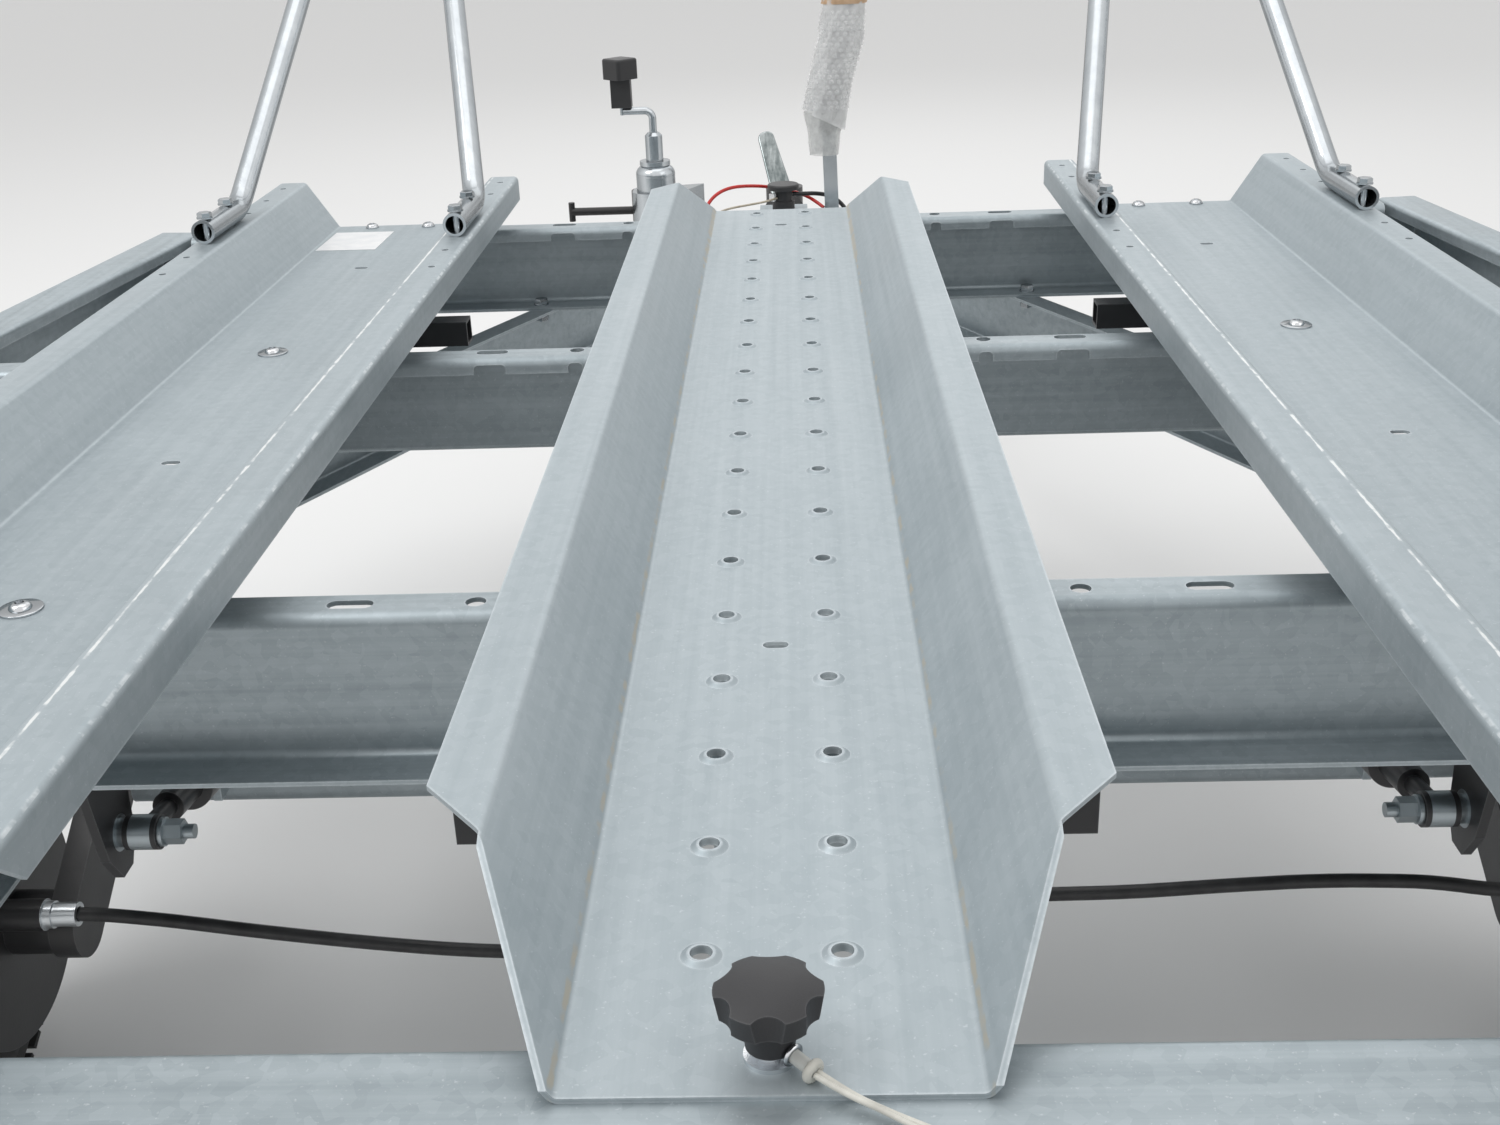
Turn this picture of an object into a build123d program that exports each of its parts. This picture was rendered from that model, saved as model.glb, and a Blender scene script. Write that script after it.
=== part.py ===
from build123d import *
import os
from math import atan2, cos, degrees, hypot, pi, radians, sin, tan

# Trailer for three motorcycles, in millimetres. X is to the right, Y runs forward to the
# coupling and Z is up. Solids are drawn with the rear end of the centre rail at y 0 and the
# tops of the crossmembers at z 0, and are moved to the middle of the footprint when written.

# Whole trailer
DECK_HEIGHT = 665.0          # tops of the crossmembers above the ground
REAR_FACE_Y = -80.0          # rear faces of the lamps
NOSE_Y = 2990.0              # front of the coupling head
SEAT_GAP = 0.3               # clearance where curved or painted faces meet

# Rails of folded sheet
RAIL_SHEET = 3.0
RAIL_LENGTH = 1938.0
RAIL_HEIGHT = 71.0
SIDE_RAIL_LENGTH = 1905.0
SIDE_RAIL_X = 576.0
RAIL_BEND = 4.0
CENTRE_FLOOR_HALF = 100.0
CENTRE_FOLD_HALF = 147.5
CENTRE_FLANGE_HALF = 183.0
SIDE_FLOOR_HALF = 98.0
SIDE_FOLD_HALF = 141.0
SIDE_FLANGE_HALF = 182.0
SIDE_LIP_DEPTH = 35.0
WALL_SETBACK = 120.0         # oblique cut of the centre rail's walls at each end
FLANGE_SETBACK = 45.0        # the same cut across the centre rail's flanges
SIDE_WALL_SETBACK = 50.0     # oblique cut of the side rails' walls at their rear end
SIDE_FLANGE_SETBACK = 45.0   # the same cut across their flanges
SIDE_LIP_SETBACK = 40.0      # and down their lips

# Raised grip holes of the centre rail
DIMPLE_ROWS = 19
DIMPLE_PITCH = 100.0
DIMPLE_FIRST_Y = 103.7
DIMPLE_SPACING = 72.7
DIMPLE_HOLE = 12.0
DIMPLE_FOOT = 22.0
DIMPLE_CREST = 15.0
DIMPLE_RISE = 2.2
CENTRE_SLOT_Y = (457.0, 1829.0)
SIDE_SLOT_Y = (867.0, 1633.0)
FLOOR_SLOT_LENGTH = 18.0
FLOOR_SLOT_WIDTH = 10.0

# Rows of small holes in the side rails' flanges
FLANGE_HOLE_X = 162.3
FLANGE_HOLE = 9.0
FLANGE_HOLE_PITCH = 86.4
FLANGE_HOLE_FIRST_Y = 1342.6
FLANGE_HOLE_COUNT = 7

# Folded channels of the frame
CHANNEL_WALL = 4.0
CHANNEL_BEND = 3.0
MEMBER_BEND = 6.0
CHANNEL_HEIGHT = 124.0
CHANNEL_FLANGE = 46.0
CHANNEL_LIP = 14.0
FRONT_MEMBER_Y = 1858.0      # rear edges of the three crossmembers
MIDDLE_MEMBER_Y = 1190.0
REAR_MEMBER_Y = 526.0
REAR_MEMBER_FOOT = 40.0
REAR_MEMBER_RELIEF_Z = -80.0 # lower edge of its ends, which pass over the mudguards
GUARD_CLEARANCE = 8.0
MEMBER_HOLE_X = 230.0
MEMBER_HOLE_INSET = 18.5     # centres of the holes behind the web's face
MEMBER_HOLE = 16.0
MEMBER_SLOT_X = 327.0
MEMBER_SLOT_LENGTH = 36.0
MEMBER_SLOT_WIDTH = 14.0
NOTCH_DEPTH = 11.0           # notches in the upper flanges' lips, under holes and slots
NOTCH_CORNER = 5.0
TONGUE_CLEARANCE = 2.0

# Side beams, which splay from the front member and then run parallel
SIDE_BEAM_FLANGE = 62.0
SIDE_BEAM_FRONT_Y = 1915.0
SIDE_BEAM_FRONT_X = 956.0
SIDE_BEAM_KNEE_Y = 1050.0
SIDE_BEAM_REAR_X = 1056.0

# Rear beam
REAR_BEAM_FRONT_Y = 41.0
REAR_BEAM_WIDTH = 80.0
REAR_BEAM_FRONT_DROP = 60.0

# Drawbar arms, which run parallel under the deck and then meet in a V
ARM_HEIGHT = 104.0
ARM_FLANGE = 38.0
ARM_REAR_Y = 470.0
ARM_REAR_X = 640.0
ARM_KNEE_Y = 1322.0
ARM_FRONT_X = 67.0
ARM_FRONT_Y = 2468.0
ARM_TOP_Z = -CHANNEL_HEIGHT

# Black bars under the rails
LASH_BAR = 30.0
LASH_WALL = 3.0
LASH_HALF_LENGTH = 195.0
REAR_LASH_BAR_Y = 260.0      # under the centre rail only
FRONT_LASH_BAR_Y = 1350.0

# Wheel hoops, bolted through their feet to the side rails' flanges
HOOP_TUBE = 30.0
HOOP_WALL = 3.5
HOOP_FOOT_REAR_Y = 1500.0
HOOP_BEND_Y = 1651.0
HOOP_TOP_Z = 520.0
HOOP_TOP_Y = 2097.0
HOOP_TOP_HALF = 74.0
HOOP_FOOT_RADIUS = 60.0
HOOP_TOP_RADIUS = 66.0

# Road wheels
TYRE_RADIUS = 281.0
TYRE_WIDTH = 145.0
WHEEL_X = 880.0
WHEEL_Y = 680.0
RIM_RADIUS = 170.0
RIM_WALL = 4.0
DRUM_RADIUS = 115.0
DRUM_WALL = 10.0
DRUM_INNER_X = 738.0
HUB_INNER_X = 778.0
STUB_RADIUS = 18.0
STUB_CLEARANCE = 0.05
WHEEL_STUD_PCD = 112.0
WHEEL_BOLTS = 5
WHEEL_STUD = 12.0
HUB_FLANGE_RADIUS = 78.0
DISC_BORE = 34.0
VENT_COUNT = 10
VENT_REACH = 132.0           # of the vents' middles from the axle
VENT_RADIUS = 10.0
DISC_CUT = 60.0
WHEEL_Z = TYRE_RADIUS - DECK_HEIGHT

# Axle with trailing arms
AXLE_Y = 832.0
AXLE_Z = -290.0
AXLE_SIZE = 80.0
AXLE_HALF_LENGTH = 646.0
AXLE_PAD_HALF = 17.0
SWING_ARM_X = 670.0
SWING_ARM_WIDTH = 24.0
SWING_ARM_END_RADIUS = 34.0
BACKPLATE_X = 726.0
BACKPLATE_RADIUS = 118.0
BACKPLATE_WALL = 6.0

# Brake cables, from the back plates to the bracket on the axle
CABLE_RADIUS = 6.3
CABLE_BRACKET_Z = -338.0
CABLE_BRACKET_X = 28.0
CABLE_PLATE_Y = 737.0
FERRULE_X = 642.0
FERRULE_Y = 636.0
FERRULE_Z = -345.0
FERRULE_RADIUS = 11.0
FERRULE_LENGTH = 22.0
COLLAR_X = FERRULE_X + FERRULE_LENGTH   # bright collar between the ferrule and its boot
COLLAR_LENGTH = 8.0
COLLAR_RADIUS = 12.5
BOOT_RADIUS = 14.5
FERRULE_CLEARANCE = 0.6
CABLE_START_X = 684.0        # end of the cable inside its boot

# Brake rod and the equaliser at its rear end, ahead of the axle
EQUALISER_OFFSET = 105.0
EQUALISER_HALF = 48.0
EQUALISER_WALL = 12.0
EQUALISER_HEIGHT = 30.0
EQUALISER_PIN_RADIUS = 3.0
BRAKE_ROD_RADIUS = 5.0

# Dampers
DAMPER_X = 520.0
DAMPER_REAR_Y = 540.0
DAMPER_REAR_Z = -197.0
DAMPER_FRONT_Y = 770.0
DAMPER_FRONT_Z = -236.0
DAMPER_BODY = 44.0
DAMPER_NECK = 16.0
DAMPER_COLLAR = 27.0
DAMPER_COLLAR_AT = 52.0      # from the rear eye along the damper
DAMPER_BODY_AT = 98.0
DAMPER_EYE = 29.0
DAMPER_EYE_WIDTH = 27.0
DAMPER_BOLT = 12.0
DAMPER_WASHERS = 6.5         # thickness of the washers between eye and bracket
DAMPER_NUT = 15.0
BRACKET_PLATE = 8.0

# Mudguards
GUARD_GAP = 44.0
GUARD_SHEET = 3.0
GUARD_INNER_X = 790.0
GUARD_OUTER_X = 968.0
GUARD_TAB_TURNS = (62, 118)  # degrees round the wheel
GUARD_TAB_WIDTH = 40.0
GUARD_TAB_SEAT = 12.0
GUARD_TAB_LAP = 14.0         # of a tab that has to rise to the side beam

# Overrun device and coupling
DRAW_AXIS_Z = -185.0
HOUSING_REAR_Y = 2345.0
HOUSING_FRONT_Y = 2610.0
HOUSING_HEIGHT = 98.0
NECK_RADIUS = 36.0
NECK_LENGTH = 70.0
DRAW_TUBE_RADIUS = 25.0
GAITER_RINGS = 6
GAITER_RADIUS = 44.0
GAITER_LENGTH = 110.0
BALL_RADIUS = 25.0
BALL_Z = -225.0
SOCKET_DEPTH = 12.0          # straight wall of the socket below the ball's middle

# Handbrake lever
LEVER_Y = 2545.0
LEVER_PIVOT_Z = -205.0
LEVER_LOW_X = 94.0
LEVER_KNEE_X = 87.0
LEVER_KNEE_Z = 30.0
LEVER_TOP_X = 126.0
LEVER_TOP_Z = 290.0
LEVER_WIDTH = 26.0
LEVER_DEPTH = 14.0
LEVER_WALL = 2.5
LEVER_BEND_RADIUS = 160.0
LEVER_PIVOT_LIFT = 14.0
LEVER_PIVOT_RADIUS = 13.0
SECTOR_WALL = 8.0
SECTOR_HALF = 34.0
SECTOR_RISE = 44.0
# height, left edge, right edge and depth of the wrap round its grip
WRAP_SECTIONS = [
    (-24, 52, 106, 30), (13, 49, 108.5, 38), (50, 41, 120, 48),
    (109, 49, 132, 52), (182, 72, 150.5, 50), (252, 79, 158, 44),
]

# Jockey wheel
JOCKEY_X = -221.0
JOCKEY_Y = 2320.0
JOCKEY_TUBE_RADIUS = 34.0
JOCKEY_TUBE_WALL = 3.0
JOCKEY_TUBE_TOP_Z = 15.0
JOCKEY_CAP_Z = 8.0           # underside of the ring on the cap
JOCKEY_CAP_RADIUS = 26.5
JOCKEY_SHOULDER_Z = -10.0
JOCKEY_TUBE_BOTTOM_Z = -343.0
JOCKEY_LEG_RADIUS = 26.0
JOCKEY_LEG_DROP = 160.0      # top of the leg below the tube's top when wound in
JOCKEY_LEG_LIFT = 22.0       # foot of the leg above the wheel
CLAMP_LOW_Z = -106.0
CLAMP_HIGH_Z = -36.0
CLAMP_BAR_X = -372.5         # upright bar that turns the clamp's screw
CLAMP_BAR_HALF = 16.5
CLAMP_BAR_Z = -70.6
CLAMP_FOOT_Z = -214.0        # lower end of the plate on the arm's web
CLAMP_FOOT = 10.0
CRANK_LEAN = 12.0            # how far back the end of the crank stands
CRANK_SLEEVE_RADIUS = 15.0
CRANK_SLEEVE_LENGTH = 48.0
CRANK_ROD_RADIUS = 6.5
CRANK_REACH = 50.0
CRANK_TOP_Z = 100.0
JOCKEY_GUIDE = 30.0          # length of the bush that guides the inner tube
GRIP_PIN = 4.0
GRIP_SHANK = 47.0
GRIP_SHANK_WIDTH = 34.0
GRIP_CAP = 34.0
GRIP_CAP_SIDE = 45.0
GRIP_CAP_CORNER = 6.0
JOCKEY_WHEEL_RADIUS = 100.0
JOCKEY_WHEEL_WIDTH = 60.0
JOCKEY_TRAIL = 45.0
JOCKEY_WHEEL_Z = JOCKEY_WHEEL_RADIUS - DECK_HEIGHT

SHIFT_Y = -(REAR_FACE_Y + NOSE_Y) / 2
SHIFT = Pos(0, SHIFT_Y, DECK_HEIGHT)


# Shared shapes

def strip_sides(points, wall):
    """The two offset lines of a sheet that follows points, with mitred corners."""
    left, right = [], []
    count = len(points)
    for i, (a, b) in enumerate(points):
        steps = []
        if i > 0:
            steps.append((a - points[i - 1][0], b - points[i - 1][1]))
        if i < count - 1:
            steps.append((points[i + 1][0] - a, points[i + 1][1] - b))
        normals = [(-dy / hypot(dx, dy), dx / hypot(dx, dy)) for dx, dy in steps]
        nx = sum(n[0] for n in normals) / len(normals)
        ny = sum(n[1] for n in normals) / len(normals)
        size = nx * nx + ny * ny
        left.append((a + nx / size * wall / 2, b + ny / size * wall / 2))
        right.append((a - nx / size * wall / 2, b - ny / size * wall / 2))
    return left, right


def folded(points, wall, bend):
    """Section of a sheet folded along points, with true inner and outer bend radii."""
    left, right = strip_sides(points, wall)
    left_radii, right_radii = [], []
    for p, q, r in zip(points, points[1:], points[2:]):
        turn = (q[0] - p[0]) * (r[1] - q[1]) - (q[1] - p[1]) * (r[0] - q[0])
        left_radii.append(bend if turn > 0 else bend + wall)
        right_radii.append(bend + wall if turn > 0 else bend)
    upper = FilletPolyline(*left, radius=left_radii)
    lower = FilletPolyline(*right, radius=right_radii)
    ends = Curve() + Line(left[0], right[0]) + Line(left[-1], right[-1])
    return make_face((Curve() + upper + lower + ends).edges())


def along_y(section, start, length):
    """Push an X-Z section forward from the station start."""
    plane = Plane(origin=(0, start, 0), x_dir=(1, 0, 0), z_dir=(0, -1, 0))
    return extrude(plane * section, amount=-length)


def along_x(section, start, length):
    """Push a Y-Z section to the right from the station start."""
    plane = Plane(origin=(start, 0, 0), x_dir=(0, 1, 0), z_dir=(1, 0, 0))
    return extrude(plane * section, amount=length)


def bar_x(x0, x1, y, z, radius):
    """Round bar along X from x0 to x1."""
    return Pos((x0 + x1) / 2, y, z) * Rot(0, 90, 0) * Cylinder(radius, abs(x1 - x0))


def bar_y(y0, y1, x, z, radius):
    """Round bar along Y from y0 to y1."""
    return Pos(x, (y0 + y1) / 2, z) * Rot(90, 0, 0) * Cylinder(radius, abs(y1 - y0))


def bar_z(z0, z1, x, y, radius):
    """Round bar along Z from z0 to z1."""
    return Pos(x, y, (z0 + z1) / 2) * Cylinder(radius, abs(z1 - z0))


def block(x0, x1, y0, y1, z0, z1):
    """Box between two corners."""
    middle = Pos((x0 + x1) / 2, (y0 + y1) / 2, (z0 + z1) / 2)
    return middle * Box(abs(x1 - x0), abs(y1 - y0), abs(z1 - z0))


def slot_z(x, y, length, width, depth):
    """Cutter for a slot that is long along X."""
    return Pos(x, y, 0) * extrude(SlotOverall(length, width), amount=depth, both=True)


def mirrored(solid):
    """The left-hand copy of a right-hand piece."""
    return mirror(solid, about=Plane.YZ)


# Rails

def centre_rail():
    """Loading rail with oblique ends, two rows of raised grip holes and two slots."""
    half = RAIL_SHEET / 2
    right_side = [
        (CENTRE_FLOOR_HALF, half),
        (CENTRE_FOLD_HALF, RAIL_HEIGHT - half),
        (CENTRE_FLANGE_HALF, RAIL_HEIGHT - half),
    ]
    left_side = [(-x, z) for x, z in reversed(right_side)]
    rail = along_y(folded(left_side + right_side, RAIL_SHEET, RAIL_BEND), 0, RAIL_LENGTH)

    reach = 2 * CENTRE_FLANGE_HALF
    for at, way in ((0, 1), (RAIL_LENGTH, -1)):
        wall_cut = Polyline(
            (at - way, RAIL_SHEET + RAIL_BEND),
            (at + way * WALL_SETBACK, RAIL_HEIGHT + 1),
            (at - way, RAIL_HEIGHT + 1),
            close=True,
        )
        rail -= along_x(make_face(wall_cut), -reach / 2, reach)
        for side in (-1, 1):
            flange_cut = Polyline(
                (side * CENTRE_FOLD_HALF, at + way * WALL_SETBACK),
                (side * (CENTRE_FLANGE_HALF + 1), at + way * (WALL_SETBACK + FLANGE_SETBACK)),
                (side * (CENTRE_FLANGE_HALF + 1), at - way),
                (side * CENTRE_FOLD_HALF, at - way),
                close=True,
            )
            cutter = extrude(make_face(flange_cut), amount=RAIL_SHEET + RAIL_BEND + 1)
            rail -= Pos(0, 0, RAIL_HEIGHT - RAIL_SHEET - RAIL_BEND) * cutter

    collar = Pos(0, 0, RAIL_SHEET + DIMPLE_RISE / 2) * Cone(
        DIMPLE_FOOT / 2, DIMPLE_CREST / 2, DIMPLE_RISE
    )
    hole = Pos(0, 0, RAIL_SHEET) * Cylinder(DIMPLE_HOLE / 2, 4 * RAIL_SHEET)
    places = []
    for row in range(DIMPLE_ROWS):
        y = DIMPLE_FIRST_Y + row * DIMPLE_PITCH
        if y < RAIL_LENGTH - DIMPLE_FOOT:
            places += [Pos(side * DIMPLE_SPACING / 2, y, 0) for side in (-1, 1)]
    rail += [place * collar for place in places]
    rail -= [place * hole for place in places]
    rail -= [slot_z(0, y, FLOOR_SLOT_LENGTH, FLOOR_SLOT_WIDTH, 2 * RAIL_SHEET) for y in CENTRE_SLOT_Y]
    rail -= bar_z(-RAIL_SHEET, 2 * RAIL_SHEET, 0, KNOB_Y, KNOB_BOLT / 2 + 0.5)
    return rail


def flange_hole_y(row):
    """Station of one row of holes in the side rails' flanges."""
    return FLANGE_HOLE_FIRST_Y + row * FLANGE_HOLE_PITCH


def side_rail():
    """Right-hand standing rail with turned-down lips and rows of flange holes."""
    half = RAIL_SHEET / 2
    right_side = [
        (SIDE_FLOOR_HALF, half),
        (SIDE_FOLD_HALF, RAIL_HEIGHT - half),
        (SIDE_FLANGE_HALF - half, RAIL_HEIGHT - half),
        (SIDE_FLANGE_HALF - half, RAIL_HEIGHT - SIDE_LIP_DEPTH),
    ]
    left_side = [(-x, z) for x, z in reversed(right_side)]
    rail = along_y(folded(left_side + right_side, RAIL_SHEET, RAIL_BEND), 0, SIDE_RAIL_LENGTH)

    flange_y = SIDE_WALL_SETBACK + SIDE_FLANGE_SETBACK
    wall_cut = Polyline(
        (-1, RAIL_SHEET + RAIL_BEND), (SIDE_WALL_SETBACK, RAIL_HEIGHT + 1), (-1, RAIL_HEIGHT + 1), close=True
    )
    rail -= along_x(make_face(wall_cut), -SIDE_FLANGE_HALF - 1, 2 * SIDE_FLANGE_HALF + 2)
    lip_low = RAIL_HEIGHT - SIDE_LIP_DEPTH - 1
    lip_cut = make_face(
        Polyline((-1, lip_low), (flange_y + SIDE_LIP_SETBACK, lip_low), (flange_y, RAIL_HEIGHT + 1),
                 (-1, RAIL_HEIGHT + 1), close=True)
    )
    lip_depth = RAIL_SHEET + RAIL_BEND
    for side in (-1, 1):
        flange_cut = Polyline(
            (side * SIDE_FOLD_HALF, SIDE_WALL_SETBACK), (side * (SIDE_FLANGE_HALF + 1), flange_y),
            (side * (SIDE_FLANGE_HALF + 1), -1), (side * SIDE_FOLD_HALF, -1), close=True,
        )
        cutter = extrude(make_face(flange_cut), amount=lip_depth + 1)
        rail -= Pos(0, 0, RAIL_HEIGHT - lip_depth) * cutter
        lip_x = side * (SIDE_FLANGE_HALF - lip_depth / 2)
        rail -= along_x(lip_cut, lip_x - lip_depth / 2, lip_depth + 1)

    rail -= [slot_z(0, y, FLOOR_SLOT_LENGTH, FLOOR_SLOT_WIDTH, 2 * RAIL_SHEET) for y in SIDE_SLOT_Y]
    holes = []
    for i in range(FLANGE_HOLE_COUNT):
        y = flange_hole_y(i)
        for side in (-1, 1):
            holes.append(bar_z(RAIL_HEIGHT - 10, RAIL_HEIGHT + 5, side * FLANGE_HOLE_X, y, FLANGE_HOLE / 2))
    rail -= holes
    return Pos(SIDE_RAIL_X, 0, 0) * rail


# Star knob that holds the centre rail
KNOB_Y = 27.0
KNOB_BOLT = 10.0
KNOB_RADIUS = 27.0
KNOB_LOBES = 6
KNOB_RIM = 12.0              # height of the head at its lobes' tips
KNOB_HEAD_HEIGHT = 18.0
KNOB_NECK_RADIUS = 12.0
KNOB_TOP_Z = 47.5
KNOB_WASHER_RADIUS = 13.0
KNOB_WASHER = 2.5
KNOB_BUSH_RADIUS = 6.6
KNOB_BUSH = 5.0
CRIMP_START = (5.0, -3.1, 12.0)   # the lanyard's crimp, from the knob's axis
CRIMP_END = (21.0, -18.5, 8.7)
CRIMP_RADIUS = 3.5


def star_knob():
    """Six-lobed hand knob on its bolt and bush, with the crimp of its lanyard."""
    head_z = KNOB_TOP_Z - KNOB_HEAD_HEIGHT
    disc = Pos(0, 0, KNOB_HEAD_HEIGHT / 2) * Cone(KNOB_RADIUS - 3, KNOB_RADIUS, KNOB_HEAD_HEIGHT)
    rise = KNOB_HEAD_HEIGHT - KNOB_RIM
    crown = (KNOB_RADIUS ** 2 + rise ** 2) / (2 * rise)
    disc = disc & Pos(0, 0, KNOB_HEAD_HEIGHT - crown) * Sphere(crown)
    valley = KNOB_RADIUS * 0.42
    for i in range(KNOB_LOBES):
        turn = 360 / KNOB_LOBES * (i + 0.5)
        disc -= Rot(0, 0, turn) * Pos(KNOB_RADIUS * 1.22, 0, KNOB_HEAD_HEIGHT / 2) * Cylinder(
            valley, KNOB_HEAD_HEIGHT + 2
        )
    washer_top = RAIL_SHEET + KNOB_WASHER
    bush_top = washer_top + KNOB_BUSH
    neck = Pos(0, 0, (head_z + bush_top) / 2) * Cone(
        KNOB_NECK_RADIUS, KNOB_NECK_RADIUS + 1.5, head_z - bush_top
    )
    washer = bar_z(RAIL_SHEET, washer_top, 0, 0, KNOB_WASHER_RADIUS)
    bush = bar_z(washer_top, bush_top, 0, 0, KNOB_BUSH_RADIUS)
    bolt = bar_z(-CHANNEL_WALL - 12, head_z, 0, 0, KNOB_BOLT / 2)
    way = Vector(*CRIMP_END) - Vector(*CRIMP_START)
    crimp = Plane(origin=CRIMP_START, z_dir=way) * Pos(0, 0, way.length / 2) * Cylinder(CRIMP_RADIUS, way.length)
    return Pos(0, KNOB_Y, 0) * (Pos(0, 0, head_z) * disc + neck + washer + bush + bolt + crimp)


# Frame

def member_holes(flange_y, notch_y):
    """Cutters for a crossmember's holes and slots, with the notches they leave in its lip."""
    cutters = []
    for side in (-1, 1):
        cutters.append(bar_z(-2 * CHANNEL_WALL, 1, side * MEMBER_HOLE_X, flange_y, MEMBER_HOLE / 2))
        cutters.append(
            Pos(0, 0, -CHANNEL_WALL / 2)
            * slot_z(side * MEMBER_SLOT_X, flange_y, MEMBER_SLOT_LENGTH, MEMBER_SLOT_WIDTH, CHANNEL_WALL)
        )
        if notch_y is None:
            continue
        for x, width in ((MEMBER_HOLE_X, MEMBER_HOLE), (MEMBER_SLOT_X, MEMBER_SLOT_LENGTH)):
            low = -CHANNEL_WALL - CHANNEL_LIP
            notch = RectangleRounded(width, 2 * NOTCH_DEPTH, NOTCH_CORNER)
            cutters.append(along_y(Pos(side * x, low) * notch, notch_y - 1, MEMBER_BEND + 2))
    return cutters


def side_beam_inner_x(y):
    """Inner edge of the side beam's flange at the station y."""
    splay = (SIDE_BEAM_REAR_X - SIDE_BEAM_FRONT_X) / (SIDE_BEAM_FRONT_Y - SIDE_BEAM_KNEE_Y)
    outer = SIDE_BEAM_REAR_X - max(0.0, y - SIDE_BEAM_KNEE_Y) * splay
    return outer - SIDE_BEAM_FLANGE * hypot(1, splay)


def tongue(y0, y1, low):
    """Web of a crossmember that reaches on into the open side beams."""
    beam_web = SIDE_BEAM_FLANGE - CHANNEL_WALL - SEAT_GAP
    reach = side_beam_inner_x(y1) + beam_web - SEAT_GAP
    high = -CHANNEL_WALL - CHANNEL_LIP - TONGUE_CLEARANCE
    return block(-reach, reach, y0, y1, low, high)


def lipped_member(rear_y, foot_way):
    """Crossmember with a notched lip along its upper flange and a foot to the rear or the front."""
    half = CHANNEL_WALL / 2
    front_y = rear_y + CHANNEL_FLANGE
    section = [
        (rear_y + half, -CHANNEL_WALL - CHANNEL_LIP),
        (rear_y + half, -half),
        (front_y - half, -half),
        (front_y - half, half - CHANNEL_HEIGHT),
        (front_y - half + foot_way * (CHANNEL_FLANGE - half), half - CHANNEL_HEIGHT),
    ]
    reach = side_beam_inner_x(front_y + CHANNEL_FLANGE) - SEAT_GAP
    member = along_x(folded(section, CHANNEL_WALL, MEMBER_BEND), -reach, 2 * reach)
    member -= member_holes(front_y - MEMBER_HOLE_INSET, rear_y)
    low = -CHANNEL_HEIGHT + CHANNEL_WALL + TONGUE_CLEARANCE
    return member + tongue(front_y - CHANNEL_WALL, front_y, low)


def stepped_member(rear_y):
    """Rear crossmember: its upper flange points forward and its foot points back."""
    half = CHANNEL_WALL / 2
    section = [
        (rear_y + CHANNEL_FLANGE - 8, -half),
        (rear_y + half, -half),
        (rear_y + half, half - CHANNEL_HEIGHT),
        (rear_y - REAR_MEMBER_FOOT, half - CHANNEL_HEIGHT),
    ]
    reach = side_beam_inner_x(rear_y) - SEAT_GAP
    member = along_x(folded(section, CHANNEL_WALL, MEMBER_BEND), -reach, 2 * reach)
    member -= member_holes(rear_y + (CHANNEL_FLANGE - 8) / 2 + 2, None)
    for side in (-1, 1):
        member -= block(
            side * (GUARD_INNER_X - GUARD_CLEARANCE), side * (reach + 1),
            rear_y - REAR_MEMBER_FOOT - 1, rear_y + CHANNEL_FLANGE,
            -CHANNEL_HEIGHT - 1, REAR_MEMBER_RELIEF_Z,
        )
    return member + tongue(rear_y, rear_y + CHANNEL_WALL, REAR_MEMBER_RELIEF_Z)


def swept_channel(stations, section):
    """Sweep a section square to a plan line along its stations, with mitred corners."""
    path = Polyline(*stations)
    start = path @ 0
    way = path % 0
    plane = Plane(origin=start, x_dir=Vector(way.Y, -way.X, 0), z_dir=-way)
    return sweep(plane * section, path=path, transition=Transition.RIGHT)


def side_beam():
    """Right-hand side beam, open towards the deck."""
    half = CHANNEL_WALL / 2
    section = [
        (-SIDE_BEAM_FLANGE + half, -CHANNEL_WALL - CHANNEL_LIP),
        (-SIDE_BEAM_FLANGE + half, -half),
        (-half, -half),
        (-half, half - CHANNEL_HEIGHT),
        (-SIDE_BEAM_FLANGE, half - CHANNEL_HEIGHT),
    ]
    stations = [
        (SIDE_BEAM_REAR_X, REAR_BEAM_FRONT_Y + SEAT_GAP, 0),
        (SIDE_BEAM_REAR_X, SIDE_BEAM_KNEE_Y, 0),
        (SIDE_BEAM_FRONT_X, SIDE_BEAM_FRONT_Y, 0),
    ]
    return swept_channel(stations, folded(section, CHANNEL_WALL, CHANNEL_BEND))


def rear_beam():
    """Rear beam: a wide top with a short front skirt and a deep rear face for the lamps."""
    half = CHANNEL_WALL / 2
    rear = REAR_BEAM_FRONT_Y - REAR_BEAM_WIDTH
    section = [
        (REAR_BEAM_FRONT_Y - half, -REAR_BEAM_FRONT_DROP),
        (REAR_BEAM_FRONT_Y - half, -half),
        (rear + half, -half),
        (rear + half, half - CHANNEL_HEIGHT),
        (rear + REAR_BEAM_WIDTH / 2, half - CHANNEL_HEIGHT),
    ]
    beam = along_x(folded(section, CHANNEL_WALL, CHANNEL_BEND), -SIDE_BEAM_REAR_X, 2 * SIDE_BEAM_REAR_X)
    return beam - bar_z(-2 * CHANNEL_WALL, 1, 0, KNOB_Y, KNOB_BOLT / 2 + 0.5)


def arm_line_x(y):
    """Centre of a drawbar arm at the station y, on its slanting part."""
    share = (y - ARM_KNEE_Y) / (ARM_FRONT_Y - ARM_KNEE_Y)
    return ARM_REAR_X + share * (ARM_FRONT_X - ARM_REAR_X)


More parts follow.
